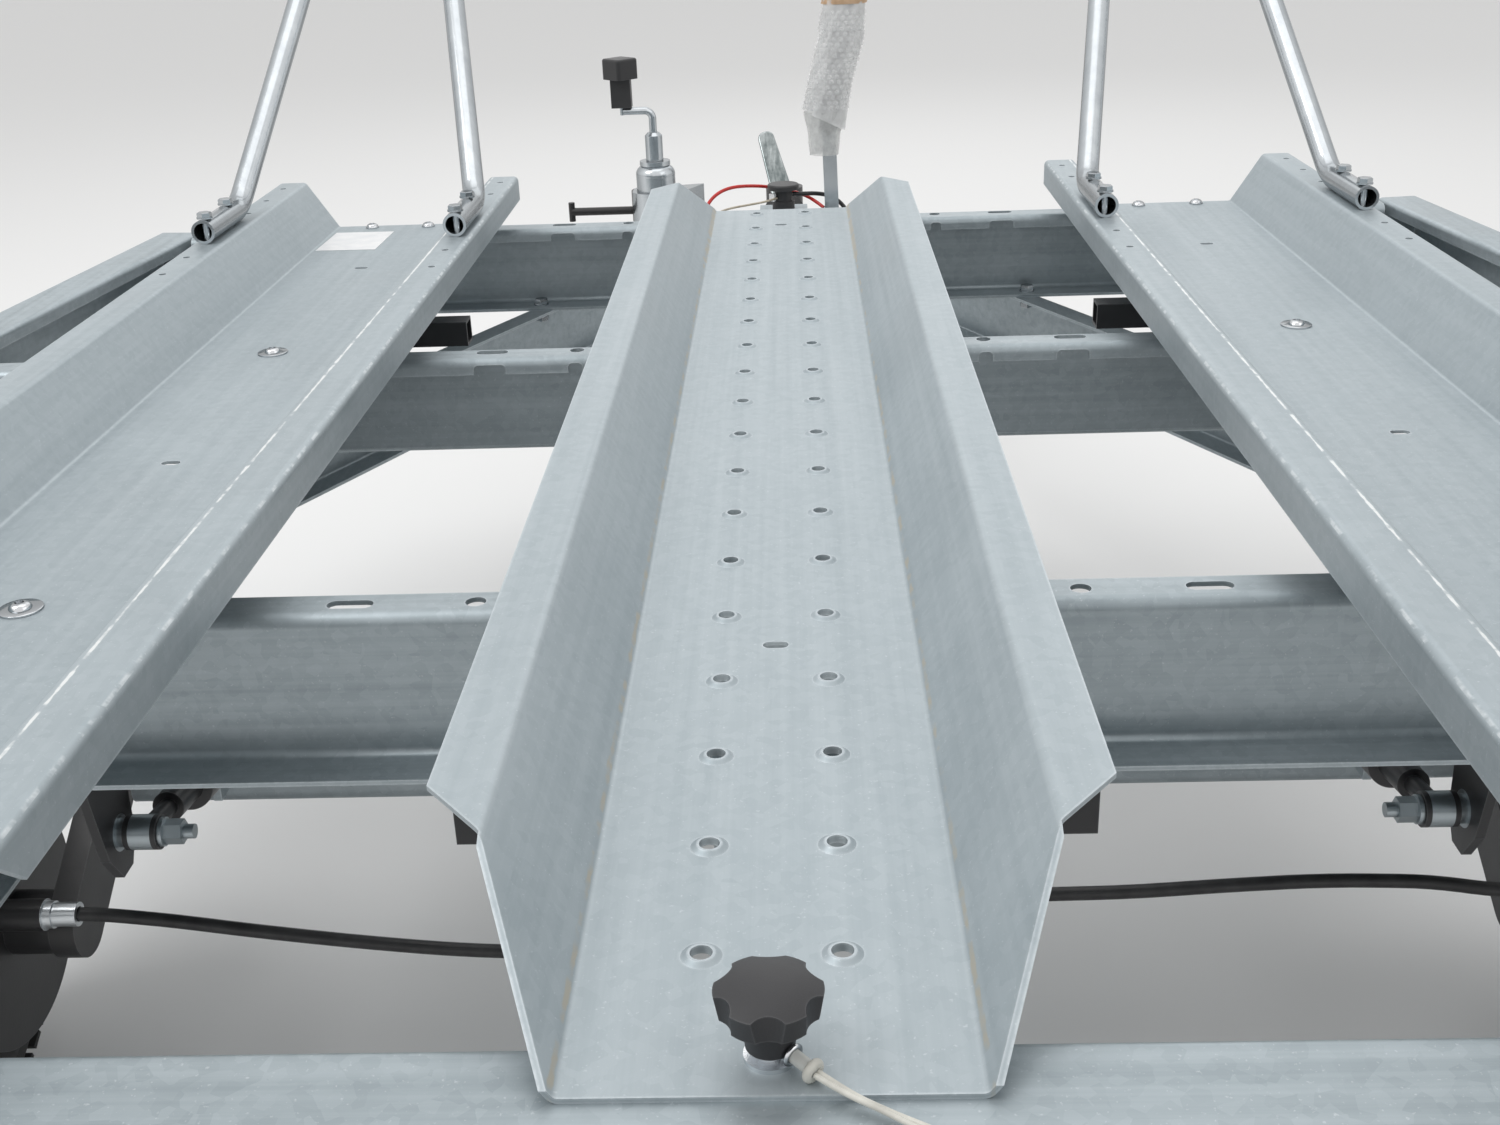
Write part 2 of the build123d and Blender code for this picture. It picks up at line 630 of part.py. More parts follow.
def drawbar_arm():
    """Right-hand drawbar arm, a channel open towards the middle."""
    half = CHANNEL_WALL / 2
    side = ARM_FLANGE / 2
    low = ARM_TOP_Z - ARM_HEIGHT
    section = [
        (-side, ARM_TOP_Z - half),
        (side - half, ARM_TOP_Z - half),
        (side - half, low + half),
        (-side, low + half),
    ]
    stations = [
        (ARM_REAR_X, ARM_REAR_Y, 0),
        (ARM_REAR_X, ARM_KNEE_Y, 0),
        (ARM_FRONT_X, ARM_FRONT_Y, 0),
    ]
    return swept_channel(stations, folded(section, CHANNEL_WALL, CHANNEL_BEND))


def lash_bars():
    """Black square tubes across the underside of each rail."""
    bars = []
    outer = LASH_BAR
    places = [(0, REAR_LASH_BAR_Y)] + [(x, FRONT_LASH_BAR_Y) for x in (-SIDE_RAIL_X, 0, SIDE_RAIL_X)]
    for x, y in places:
        tube = block(x - LASH_HALF_LENGTH, x + LASH_HALF_LENGTH, y, y + outer, -outer, 0)
        bore = block(
            x - LASH_HALF_LENGTH - 1, x + LASH_HALF_LENGTH + 1,
            y + LASH_WALL, y + outer - LASH_WALL, LASH_WALL - outer, -LASH_WALL,
        )
        bars.append(tube - bore)
    return Compound(children=bars)


# Wheel hoops
HOOP_FOOT_Z = RAIL_HEIGHT + HOOP_TUBE / 2 + SEAT_GAP


def hoop():
    """Bent tube that holds a front wheel, over the right-hand rail, with its feet on the flanges."""
    corners = [
        (-FLANGE_HOLE_X, HOOP_FOOT_REAR_Y, HOOP_FOOT_Z),
        (-FLANGE_HOLE_X, HOOP_BEND_Y, HOOP_FOOT_Z),
        (-HOOP_TOP_HALF, HOOP_TOP_Y, HOOP_TOP_Z),
        (HOOP_TOP_HALF, HOOP_TOP_Y, HOOP_TOP_Z),
        (FLANGE_HOLE_X, HOOP_BEND_Y, HOOP_FOOT_Z),
        (FLANGE_HOLE_X, HOOP_FOOT_REAR_Y, HOOP_FOOT_Z),
    ]
    radii = [HOOP_FOOT_RADIUS, HOOP_TOP_RADIUS, HOOP_TOP_RADIUS, HOOP_FOOT_RADIUS]
    path = FilletPolyline(*corners, radius=radii)
    ring = Circle(HOOP_TUBE / 2) - Circle(HOOP_TUBE / 2 - HOOP_WALL)
    start = Plane(origin=path @ 0, z_dir=path % 0)
    tube = sweep(start * ring, path=path)
    return Pos(SIDE_RAIL_X, 0, 0) * tube


# Running gear

def revolve_x(profile, y, z):
    """Turn a profile of (distance along X, radius) pairs about an axle at y, z."""
    face = make_face(Polyline(*profile, close=True))
    plane = Plane(origin=(0, y, z), x_dir=(1, 0, 0), z_dir=(0, -1, 0))
    return revolve(plane * face, axis=Axis((0, y, z), (1, 0, 0)))


def tyre():
    """Right-hand tyre: rounded shoulders, bulged walls and beads on the rim."""
    half = TYRE_WIDTH / 2
    outline = [
        (WHEEL_X - half + 18, RIM_RADIUS + SEAT_GAP),
        (WHEEL_X - half, RIM_RADIUS + 54),
        (WHEEL_X - half + 20, TYRE_RADIUS),
        (WHEEL_X + half - 20, TYRE_RADIUS),
        (WHEEL_X + half, RIM_RADIUS + 54),
        (WHEEL_X + half - 18, RIM_RADIUS + SEAT_GAP),
    ]
    return revolve_x(outline, WHEEL_Y, WHEEL_Z)


def around_wheel(count, radius):
    """Evenly spaced places about the road wheel's axle, as (y, z)."""
    turns = [radians(360 / count * i) for i in range(count)]
    return [(WHEEL_Y + radius * cos(a), WHEEL_Z + radius * sin(a)) for a in turns]


def rim():
    """Right-hand steel rim with its vented disc."""
    half = TYRE_WIDTH / 2 - 18
    inner, outer = WHEEL_X - half, WHEEL_X + half
    well = RIM_RADIUS - 14
    barrel = [
        (inner - 10, RIM_RADIUS + 12), (inner - 10, RIM_RADIUS + 8),
        (inner - 4, RIM_RADIUS - RIM_WALL), (inner + 20, RIM_RADIUS - RIM_WALL),
        (inner + 30, well - RIM_WALL), (outer - 40, well - RIM_WALL),
        (outer - 30, RIM_RADIUS - RIM_WALL), (outer + 4, RIM_RADIUS - RIM_WALL),
        (outer + 10, RIM_RADIUS + 8), (outer + 10, RIM_RADIUS + 12),
        (outer, RIM_RADIUS), (outer - 30, RIM_RADIUS),
        (outer - 40, well), (inner + 30, well),
        (inner + 20, RIM_RADIUS), (inner, RIM_RADIUS),
    ]
    disc = [
        (WHEEL_X + 14, well - RIM_WALL + 1), (WHEEL_X + 34, 120), (WHEEL_X + 38, 100),
        (WHEEL_X + 20, 80), (WHEEL_X + 18, DISC_BORE), (WHEEL_X + 13, DISC_BORE),
        (WHEEL_X + 15, 84), (WHEEL_X + 32, 104), (WHEEL_X + 28, 120), (WHEEL_X + 8, well - RIM_WALL + 1),
    ]
    wheel = revolve_x(barrel, WHEEL_Y, WHEEL_Z) + revolve_x(disc, WHEEL_Y, WHEEL_Z)
    wheel -= [
        bar_x(WHEEL_X, WHEEL_X + DISC_CUT, y, z, VENT_RADIUS) for y, z in around_wheel(VENT_COUNT, VENT_REACH)
    ]
    stud_hole = WHEEL_STUD / 2 + SEAT_GAP
    wheel -= [
        bar_x(WHEEL_X, WHEEL_X + DISC_CUT, y, z, stud_hole) for y, z in around_wheel(WHEEL_BOLTS, WHEEL_STUD_PCD / 2)
    ]
    return wheel


def drum():
    """Right-hand brake drum with its hub, grease cap and wheel bolts."""
    seat = WHEEL_X + 13 - SEAT_GAP
    nose = DISC_BORE - 1
    profile = [
        (DRUM_INNER_X, DRUM_RADIUS - DRUM_WALL), (DRUM_INNER_X, DRUM_RADIUS),
        (WHEEL_X - 20, DRUM_RADIUS), (WHEEL_X - 10, HUB_FLANGE_RADIUS), (seat, HUB_FLANGE_RADIUS),
        (seat, nose), (WHEEL_X + 52, nose - 2), (WHEEL_X + 56, nose - 7), (WHEEL_X + 56, 0),
        (WHEEL_X + 44, 0), (WHEEL_X + 44, STUB_RADIUS + STUB_CLEARANCE),
        (HUB_INNER_X, STUB_RADIUS + STUB_CLEARANCE), (HUB_INNER_X, 34),
        (WHEEL_X - 26, 34), (WHEEL_X - 26, DRUM_RADIUS - DRUM_WALL),
    ]
    solid = revolve_x(profile, WHEEL_Y, WHEEL_Z)
    for y, z in around_wheel(WHEEL_BOLTS, WHEEL_STUD_PCD / 2):
        solid += bar_x(seat - 2, WHEEL_X + 34, y, z, WHEEL_STUD / 2)
        solid += bar_x(WHEEL_X + 20 + SEAT_GAP, WHEEL_X + 34, y, z, WHEEL_STUD * 0.75)
    return solid


def swing_arm():
    """Right-hand trailing arm with its stub axle and brake back plate."""
    length = hypot(AXLE_Y - WHEEL_Y, AXLE_Z - WHEEL_Z)
    slant = degrees(atan2(WHEEL_Z - AXLE_Z, WHEEL_Y - AXLE_Y))
    inner = SWING_ARM_X - SWING_ARM_WIDTH / 2
    lever = SlotCenterToCenter(length, 2 * SWING_ARM_END_RADIUS)
    middle = Pos((AXLE_Y + WHEEL_Y) / 2, (AXLE_Z + WHEEL_Z) / 2) * Rot(0, 0, slant)
    arm = along_x(middle * lever, inner, SWING_ARM_WIDTH)
    arm += bar_x(inner + 2, BACKPLATE_X + 2, WHEEL_Y, WHEEL_Z, 30)
    arm += bar_x(BACKPLATE_X, BACKPLATE_X + BACKPLATE_WALL, WHEEL_Y, WHEEL_Z, BACKPLATE_RADIUS)
    arm += bar_x(BACKPLATE_X, WHEEL_X + 40, WHEEL_Y, WHEEL_Z, STUB_RADIUS)
    ferrule = bar_x(FERRULE_X, BACKPLATE_X + 1, FERRULE_Y, FERRULE_Z, FERRULE_RADIUS)
    ferrule += bar_x(COLLAR_X, COLLAR_X + COLLAR_LENGTH, FERRULE_Y, FERRULE_Z, COLLAR_RADIUS)
    ferrule += bar_x(COLLAR_X + COLLAR_LENGTH, BACKPLATE_X + 1, FERRULE_Y, FERRULE_Z, BOOT_RADIUS)
    bore = bar_x(
        FERRULE_X - 1, CABLE_START_X + SEAT_GAP, FERRULE_Y, FERRULE_Z, CABLE_RADIUS + FERRULE_CLEARANCE
    )
    return arm + ferrule - bore


def bracket_inner_x():
    """Inner face of the plates that the dampers' eyes are bolted to."""
    return DAMPER_X + DAMPER_EYE_WIDTH / 2 + DAMPER_WASHERS


def axle_tube():
    """Axle beam with its mounting pads, damper lugs and the brake cables' bracket."""
    half = AXLE_SIZE / 2
    profile = RectangleRounded(AXLE_SIZE, AXLE_SIZE, 14)
    beam = along_x(Pos(AXLE_Y, AXLE_Z) * profile, -AXLE_HALF_LENGTH, 2 * AXLE_HALF_LENGTH)
    beam += bar_x(-SWING_ARM_X + 12 + SEAT_GAP, SWING_ARM_X - 12 - SEAT_GAP, AXLE_Y, AXLE_Z, 26)
    arm_low = ARM_TOP_Z - ARM_HEIGHT
    for side in (-1, 1):
        x = side * ARM_REAR_X
        beam += block(x - AXLE_PAD_HALF, x + AXLE_PAD_HALF, AXLE_Y - 60, AXLE_Y + 60, AXLE_Z + half - 4, arm_low)
        lug_x = side * bracket_inner_x()
        lug = block(lug_x, lug_x + side * BRACKET_PLATE, DAMPER_FRONT_Y - 18, AXLE_Y - 20, AXLE_Z - 10, DAMPER_FRONT_Z + 18)
        beam += lug
    plate = block(-70, 70, CABLE_PLATE_Y, CABLE_PLATE_Y + 6, CABLE_BRACKET_Z - 22, AXLE_Z + 20)
    arm_plate = block(-70, 70, CABLE_PLATE_Y, AXLE_Y - half + 4, AXLE_Z + 4, AXLE_Z + 12)
    return beam + plate + arm_plate


def damper():
    """Right-hand damper between the bracket under the deck and the axle lug."""
    rear = Vector(DAMPER_X, DAMPER_REAR_Y, DAMPER_REAR_Z)
    front = Vector(DAMPER_X, DAMPER_FRONT_Y, DAMPER_FRONT_Z)
    way = (front - rear).normalized()
    length = (front - rear).length
    start = Plane(origin=rear, x_dir=(1, 0, 0), z_dir=way)
    body_end = length - DAMPER_EYE
    body = start * Pos(0, 0, (DAMPER_BODY_AT + body_end) / 2) * Cylinder(DAMPER_BODY / 2, body_end - DAMPER_BODY_AT)
    collar_length = DAMPER_BODY_AT - DAMPER_COLLAR_AT
    body += start * Pos(0, 0, DAMPER_COLLAR_AT + collar_length / 2) * Cylinder(DAMPER_COLLAR / 2, collar_length)
    body += start * Pos(0, 0, length / 2) * Cylinder(DAMPER_NECK / 2, length - 10)
    for end in (rear, front):
        body += bar_x(DAMPER_X - DAMPER_EYE_WIDTH / 2, DAMPER_X + DAMPER_EYE_WIDTH / 2, end.Y, end.Z, DAMPER_EYE / 2)
    nut_x = DAMPER_X - DAMPER_EYE_WIDTH / 2
    for end in (rear, front):
        body += bar_x(nut_x - DAMPER_NUT - 13, bracket_inner_x(), end.Y, end.Z, DAMPER_BOLT / 2)
        body += bar_x(nut_x - 4, nut_x, end.Y, end.Z, 12)
        nut = Plane(origin=(nut_x - 4, end.Y, end.Z), x_dir=(0, 1, 0), z_dir=(-1, 0, 0))
        body += extrude(nut * RegularPolygon(10.5, 6), amount=DAMPER_NUT)
        body += bar_x(DAMPER_X + DAMPER_EYE_WIDTH / 2, bracket_inner_x(), end.Y, end.Z, 12)
    return body


def damper_bracket():
    """Right-hand black bracket under the rear crossmember, tapered to its lower end."""
    low = ARM_TOP_Z - 110
    inner = bracket_inner_x()
    outline = Polyline(
        (DAMPER_REAR_Y - 44, ARM_TOP_Z), (DAMPER_REAR_Y + 30, ARM_TOP_Z),
        (DAMPER_REAR_Y + 26, DAMPER_REAR_Z - 14), (DAMPER_REAR_Y + 10, low),
        (DAMPER_REAR_Y - 10, low), (DAMPER_REAR_Y - 28, DAMPER_REAR_Z - 10), close=True,
    )
    plate = along_x(make_face(outline), inner, BRACKET_PLATE)
    foot = block(inner, inner + 46, DAMPER_REAR_Y - 44, DAMPER_REAR_Y - 12, ARM_TOP_Z - 8, ARM_TOP_Z)
    return plate + foot


def mudguard():
    """Right-hand mudguard over the wheel, with tabs that reach the side beam."""
    inner_r = TYRE_RADIUS + GUARD_GAP
    outer_r = inner_r + GUARD_SHEET
    width = GUARD_OUTER_X - GUARD_INNER_X
    ring = bar_x(GUARD_INNER_X, GUARD_OUTER_X, WHEEL_Y, WHEEL_Z, outer_r)
    ring -= bar_x(GUARD_INNER_X - 1, GUARD_OUTER_X + 1, WHEEL_Y, WHEEL_Z, inner_r)
    keep_z = WHEEL_Z + 60
    guard = ring & block(
        GUARD_INNER_X, GUARD_OUTER_X, WHEEL_Y - outer_r, WHEEL_Y + outer_r, keep_z, WHEEL_Z + outer_r
    )
    web = SIDE_BEAM_REAR_X - CHANNEL_WALL
    for turn in GUARD_TAB_TURNS:
        rear = WHEEL_Y + inner_r * cos(radians(turn)) - GUARD_TAB_WIDTH / 2
        front = rear + GUARD_TAB_WIDTH
        z = WHEEL_Z + inner_r * sin(radians(turn))
        guard += block(GUARD_OUTER_X - GUARD_TAB_SEAT, web, rear, front, z, z + GUARD_SHEET)
        rise = GUARD_TAB_LAP - CHANNEL_HEIGHT
        if z + GUARD_SHEET < rise:
            guard += block(web - GUARD_SHEET, web, rear, front, z, rise)
    return guard


LAMP_INNER_X = 800.0
LAMP_OUTER_X = 1030.0
LAMP_LOW_Z = -114.0
LAMP_HIGH_Z = -12.0
LAMP_BASE = 14.0             # depth of the black base behind the lens
LAMP_GROOVES = (872.0, 954.0)


def lamp_unit(inset, front_y, back_y, corner):
    """Right-hand lamp body between two stations, inset all round from the base's outline."""
    unit = block(
        LAMP_INNER_X + inset, LAMP_OUTER_X - inset, front_y, back_y, LAMP_LOW_Z + inset, LAMP_HIGH_Z - inset
    )
    return fillet(unit.edges().filter_by(Axis.Y), corner)


def rear_lamp():
    """Right-hand lamp: a base, and a lens with rounded edges and two grooves between its fields."""
    seat_y = REAR_BEAM_FRONT_Y - REAR_BEAM_WIDTH
    base = lamp_unit(0, seat_y - LAMP_BASE, seat_y, 12)
    lens = lamp_unit(4, REAR_FACE_Y, seat_y - LAMP_BASE, 10)
    lens = fillet(lens.faces().sort_by(Axis.Y)[0].edges(), 7)
    for x in LAMP_GROOVES:
        lens -= block(x - 1.5, x + 1.5, REAR_FACE_Y - 1, REAR_FACE_Y + 3, LAMP_LOW_Z, LAMP_HIGH_Z)
    return base + lens


def brake_cable(points):
    """Whole outer cable along its route, from its back plate to the middle bracket."""
    return cord(points, 2 * CABLE_RADIUS, "brake cable")


def corner_radii(points):
    """Radius of each corner: 0.45 of its shorter run over the tangent of half its turn."""
    spots = [Vector(*p) for p in points]
    radii = []
    for a, b, c in zip(spots, spots[1:], spots[2:]):
        turn = (b - a).get_angle(c - b)
        shorter = min((b - a).length, (c - b).length)
        radii.append(0.45 * shorter / tan(radians(turn) / 2))
    return radii


def cord(points, diameter, name):
    """Plain tube of straight runs and tangent arcs."""
    radii = corner_radii(points)
    path = FilletPolyline(*points, radius=radii)
    start = Plane(origin=path @ 0, z_dir=path % 0)
    tube = sweep(start * Circle(diameter / 2), path=path)
    length = path.length
    share = tube.volume / (pi * diameter ** 2 / 4 * length)
    print(name, "length", round(length, 1), "radii", [round(r, 1) for r in radii], "volume share", round(share, 4))
    return tube


CABLE_END_Y = CABLE_PLATE_Y - SEAT_GAP
LEFT_CABLE = [
    (-CABLE_START_X, FERRULE_Y, FERRULE_Z), (-628, 636, -345), (-565, 640, -356), (-482, 641, -371),
    (-392, 642, -385), (-301, 641, -395), (-210, 640, -399), (-130, 644, -392), (-70, 658, -368),
    (-36, 684, -346), (-CABLE_BRACKET_X, 710, CABLE_BRACKET_Z), (-CABLE_BRACKET_X, CABLE_END_Y, CABLE_BRACKET_Z),
]
RIGHT_CABLE = [
    (CABLE_START_X, FERRULE_Y, FERRULE_Z), (628, 636, -344.6), (568, 640, -336.5), (480, 641, -334),
    (393, 640, -337), (305, 639, -342), (227, 640, -343.5), (140, 645, -349), (80, 655, -347),
    (40, 682, -341), (CABLE_BRACKET_X, 710, CABLE_BRACKET_Z), (CABLE_BRACKET_X, CABLE_END_Y, CABLE_BRACKET_Z),
]


def brake_rod():
    """Pull rod from the overrun device to the equaliser ahead of the axle."""
    rear = Vector(0, AXLE_Y + EQUALISER_OFFSET, CABLE_BRACKET_Z)
    front = Vector(0, HOUSING_REAR_Y - 1, DRAW_AXIS_Z)
    way = (front - rear).normalized()
    start = Plane(origin=rear, z_dir=way)
    rod = start * Pos(0, 0, (front - rear).length / 2) * Cylinder(
        BRAKE_ROD_RADIUS, (front - rear).length
    )
    rod += block(
        -EQUALISER_HALF, EQUALISER_HALF, rear.Y - EQUALISER_WALL / 2, rear.Y + EQUALISER_WALL / 2,
        rear.Z - EQUALISER_HEIGHT / 2, rear.Z + EQUALISER_HEIGHT / 2,
    )
    for x in (-CABLE_BRACKET_X, CABLE_BRACKET_X):
        rod += bar_y(CABLE_PLATE_Y + 6 + SEAT_GAP, rear.Y, x, rear.Z, EQUALISER_PIN_RADIUS)
    return rod


# Drawbar front

def housing_half(y):
    """Half width of the overrun housing, which fits between the arms."""
    slope = (ARM_REAR_X - ARM_FRONT_X) / (ARM_FRONT_Y - ARM_KNEE_Y)
    side = ARM_FLANGE / 2 * hypot(1, slope) + SEAT_GAP
    return max(arm_line_x(min(y, ARM_FRONT_Y)) - side, NECK_RADIUS + 4)


def overrun_housing():
    """Housing between the arms, narrowing forward, with its guide neck."""
    rear_half = housing_half(HOUSING_REAR_Y)
    front_half = housing_half(HOUSING_FRONT_Y)
    mid_y = ARM_FRONT_Y
    mid_half = housing_half(mid_y)
    outline = Polyline(
        (-rear_half, HOUSING_REAR_Y), (-mid_half, mid_y), (-front_half, HOUSING_FRONT_Y),
        (front_half, HOUSING_FRONT_Y), (mid_half, mid_y), (rear_half, HOUSING_REAR_Y), close=True,
    )
    low = ARM_TOP_Z - ARM_HEIGHT + 2
    body = Pos(0, 0, low) * extrude(make_face(outline), amount=HOUSING_HEIGHT)
    body += bar_y(HOUSING_FRONT_Y - 1, HOUSING_FRONT_Y + NECK_LENGTH, 0, DRAW_AXIS_Z, NECK_RADIUS)
    return body


def gaiter():
    """Rubber bellows between the neck and the coupling head."""
    start = HOUSING_FRONT_Y + NECK_LENGTH + SEAT_GAP
    step = GAITER_LENGTH / GAITER_RINGS
    bore = DRAW_TUBE_RADIUS + SEAT_GAP
    outline = [(bore, 0)]
    for i in range(GAITER_RINGS):
        outline.append((GAITER_RADIUS - 9, i * step))
        outline.append((GAITER_RADIUS, (i + 0.5) * step))
    outline += [(GAITER_RADIUS - 9, GAITER_LENGTH), (bore, GAITER_LENGTH)]
    face = make_face(Polyline(*outline, close=True))
    solid = revolve(Plane.XZ * face, axis=Axis.Z)
    return Pos(0, start, DRAW_AXIS_Z) * Rot(-90, 0, 0) * solid


def coupling_head():
    """Draw tube and pressed coupling head with its ball socket."""
    tube_start = HOUSING_FRONT_Y + NECK_LENGTH + SEAT_GAP
    head_start = tube_start + GAITER_LENGTH + 2 * SEAT_GAP
    ball_y = NOSE_Y - BALL_RADIUS - 14
    head = bar_y(tube_start, head_start + 10, 0, DRAW_AXIS_Z, DRAW_TUBE_RADIUS)
    head += bar_y(head_start, head_start + 70, 0, DRAW_AXIS_Z, DRAW_TUBE_RADIUS + 8)
    shell = Pos(0, ball_y, 0) * bar_z(BALL_Z - SOCKET_DEPTH, DRAW_AXIS_Z + 26, 0, 0, BALL_RADIUS + 14)
    web = block(-26, 26, head_start + 50, ball_y, BALL_Z + 12, DRAW_AXIS_Z + 26)
    head += shell
    head += web
    head = head - Pos(0, ball_y, BALL_Z) * Sphere(BALL_RADIUS + 0.5)
    head -= bar_z(BALL_Z - SOCKET_DEPTH - 1, BALL_Z, 0, ball_y, BALL_RADIUS + 0.5)
    return head


HANDLE_LOW_WIDTH = 44.0
HANDLE_TOP_WIDTH = 32.0
HANDLE_THICKNESS = 10.0
HANDLE_START = (-3.01, 2809.95, -148.91)
HANDLE_TIP = (-38.0, 2882.0, -34.0)


def coupling_handle():
    """Lifting handle of the coupling, a thick tapered plate with a round tip, raised and leaning."""
    way = Vector(*HANDLE_TIP) - Vector(*HANDLE_START)
    length = way.length
    outline = make_face(
        Polyline(
            (-HANDLE_LOW_WIDTH / 2, 0), (HANDLE_LOW_WIDTH / 2, 0),
            (HANDLE_TOP_WIDTH / 2, length), (-HANDLE_TOP_WIDTH / 2, length), close=True,
        )
    )
    outline = fillet(outline.vertices().sort_by(Axis.Y)[-2:], HANDLE_TOP_WIDTH / 2 - 1)
    plate = extrude(outline, amount=HANDLE_THICKNESS / 2, both=True)
    plate = fillet(plate.faces().sort_by(Axis.Z)[-1].edges().sort_by(Axis.Y)[1:], 3)
    across = Vector(1, 0, 0) - way.normalized() * way.normalized().X
    facing = across.cross(way)
    return Plane(origin=HANDLE_START, x_dir=across, z_dir=facing) * plate


def lever_path():
    """Middle line of the handbrake lever, cranked outwards at its grip."""
    return FilletPolyline(
        (LEVER_LOW_X, LEVER_Y, LEVER_PIVOT_Z), (LEVER_KNEE_X, LEVER_Y, LEVER_KNEE_Z),
        (LEVER_TOP_X, LEVER_Y + 3, LEVER_TOP_Z), radius=[LEVER_BEND_RADIUS],
    )


def handbrake_lever():
    """Upright handbrake lever of folded channel on the right of the housing."""
    path = lever_path()
    start = Plane(origin=path @ 0, x_dir=(1, 0, 0), z_dir=path % 0)
    channel = Rectangle(LEVER_WIDTH, LEVER_DEPTH) - Pos(0, LEVER_WALL) * Rectangle(
        LEVER_WIDTH - 2 * LEVER_WALL, LEVER_DEPTH
    )
    bar = sweep(start * channel, path=path)
    side = LEVER_LOW_X - LEVER_WIDTH / 2
    pivot = bar_x(
        housing_half(LEVER_Y) + SEAT_GAP, side + LEVER_WIDTH,
        LEVER_Y, LEVER_PIVOT_Z + LEVER_PIVOT_LIFT, LEVER_PIVOT_RADIUS,
    )
    sector = block(
        side - SECTOR_WALL, side, LEVER_Y - SECTOR_HALF, LEVER_Y + SECTOR_HALF,
        LEVER_PIVOT_Z - SECTOR_WALL, LEVER_PIVOT_Z + SECTOR_RISE,
    )
    return bar + pivot + sector


def lever_wrap():
    """Loose packing film round the lever's grip, as one closed sleeve with room for the bar."""
    sections = []
    for z, x0, x1, depth in WRAP_SECTIONS:
        middle = Plane(origin=((x0 + x1) / 2, LEVER_Y + 1, z), x_dir=(1, 0, 0), z_dir=(0, 0, 1))
        sections.append(middle * Ellipse((x1 - x0) / 2, depth / 2))
    sleeve = loft(sections, ruled=True)
    path = lever_path()
    start = Plane(origin=path @ 0, x_dir=(1, 0, 0), z_dir=path % 0)
    room = sweep(start * Rectangle(LEVER_WIDTH + 2 * SEAT_GAP, LEVER_DEPTH + 2 * SEAT_GAP), path=path)
    return sleeve - room


PLUG_Y = 2560.0
PLUG_CAP_LOW_Z = -88.0
PLUG_CAP_HIGH_Z = -78.0
PLUG_CAP_RADIUS = 30.0
PLUG_RADIUS = 17.0


def plug():
    """Electric plug with its wide cap, parked in its holder on the housing."""
    low = ARM_TOP_Z - ARM_HEIGHT + 2 + HOUSING_HEIGHT
    holder = bar_z(low, low + 18, 0, PLUG_Y, PLUG_RADIUS + 4)
    body = bar_z(low + 18, PLUG_CAP_LOW_Z, 0, PLUG_Y, PLUG_RADIUS)
    cap = bar_z(PLUG_CAP_LOW_Z, PLUG_CAP_HIGH_Z, 0, PLUG_Y, PLUG_CAP_RADIUS)
    cap = fillet(cap.edges().sort_by(Axis.Z)[-1], 4)
    return holder + body + cap


# Jockey wheel

def jockey_clamp():
    """Clamp on the left arm that grips the jockey wheel's outer tube."""
    ring = bar_z(CLAMP_LOW_Z, CLAMP_HIGH_Z, JOCKEY_X, JOCKEY_Y, JOCKEY_TUBE_RADIUS + 10)
    arm_x = -(arm_line_x(JOCKEY_Y) + ARM_FLANGE / 2 / cos(atan2(ARM_REAR_X - ARM_FRONT_X, ARM_FRONT_Y - ARM_KNEE_Y)))
    slope = (ARM_REAR_X - ARM_FRONT_X) / (ARM_FRONT_Y - ARM_KNEE_Y)
    rear = (arm_x - slope * 45, JOCKEY_Y - 45)
    front = (arm_x + slope * 45, JOCKEY_Y + 45)
    outline = Polyline(
        rear, front, (front[0] - CLAMP_FOOT, front[1]), (JOCKEY_X, JOCKEY_Y + 26),
        (JOCKEY_X, JOCKEY_Y - 26), (rear[0] - CLAMP_FOOT, rear[1]), close=True,
    )
    saddle = Pos(0, 0, CLAMP_LOW_Z) * extrude(make_face(outline), amount=CLAMP_HIGH_Z - CLAMP_LOW_Z)
    plate = make_face(
        Polyline(rear, front, (front[0] - CLAMP_FOOT, front[1]), (rear[0] - CLAMP_FOOT, rear[1]), close=True)
    )
    foot = Pos(0, 0, CLAMP_FOOT_Z) * extrude(plate, amount=CLAMP_LOW_Z - CLAMP_FOOT_Z + 1)
    clamp = ring + saddle + foot
    clamp += bar_x(CLAMP_BAR_X, JOCKEY_X - JOCKEY_TUBE_RADIUS - 4, JOCKEY_Y, CLAMP_BAR_Z, 7)
    clamp += bar_z(CLAMP_BAR_Z - CLAMP_BAR_HALF, CLAMP_BAR_Z + CLAMP_BAR_HALF, CLAMP_BAR_X, JOCKEY_Y, 5.5)
    return clamp - bar_z(CLAMP_LOW_Z - 1, CLAMP_HIGH_Z + 1, JOCKEY_X, JOCKEY_Y, JOCKEY_TUBE_RADIUS + SEAT_GAP)


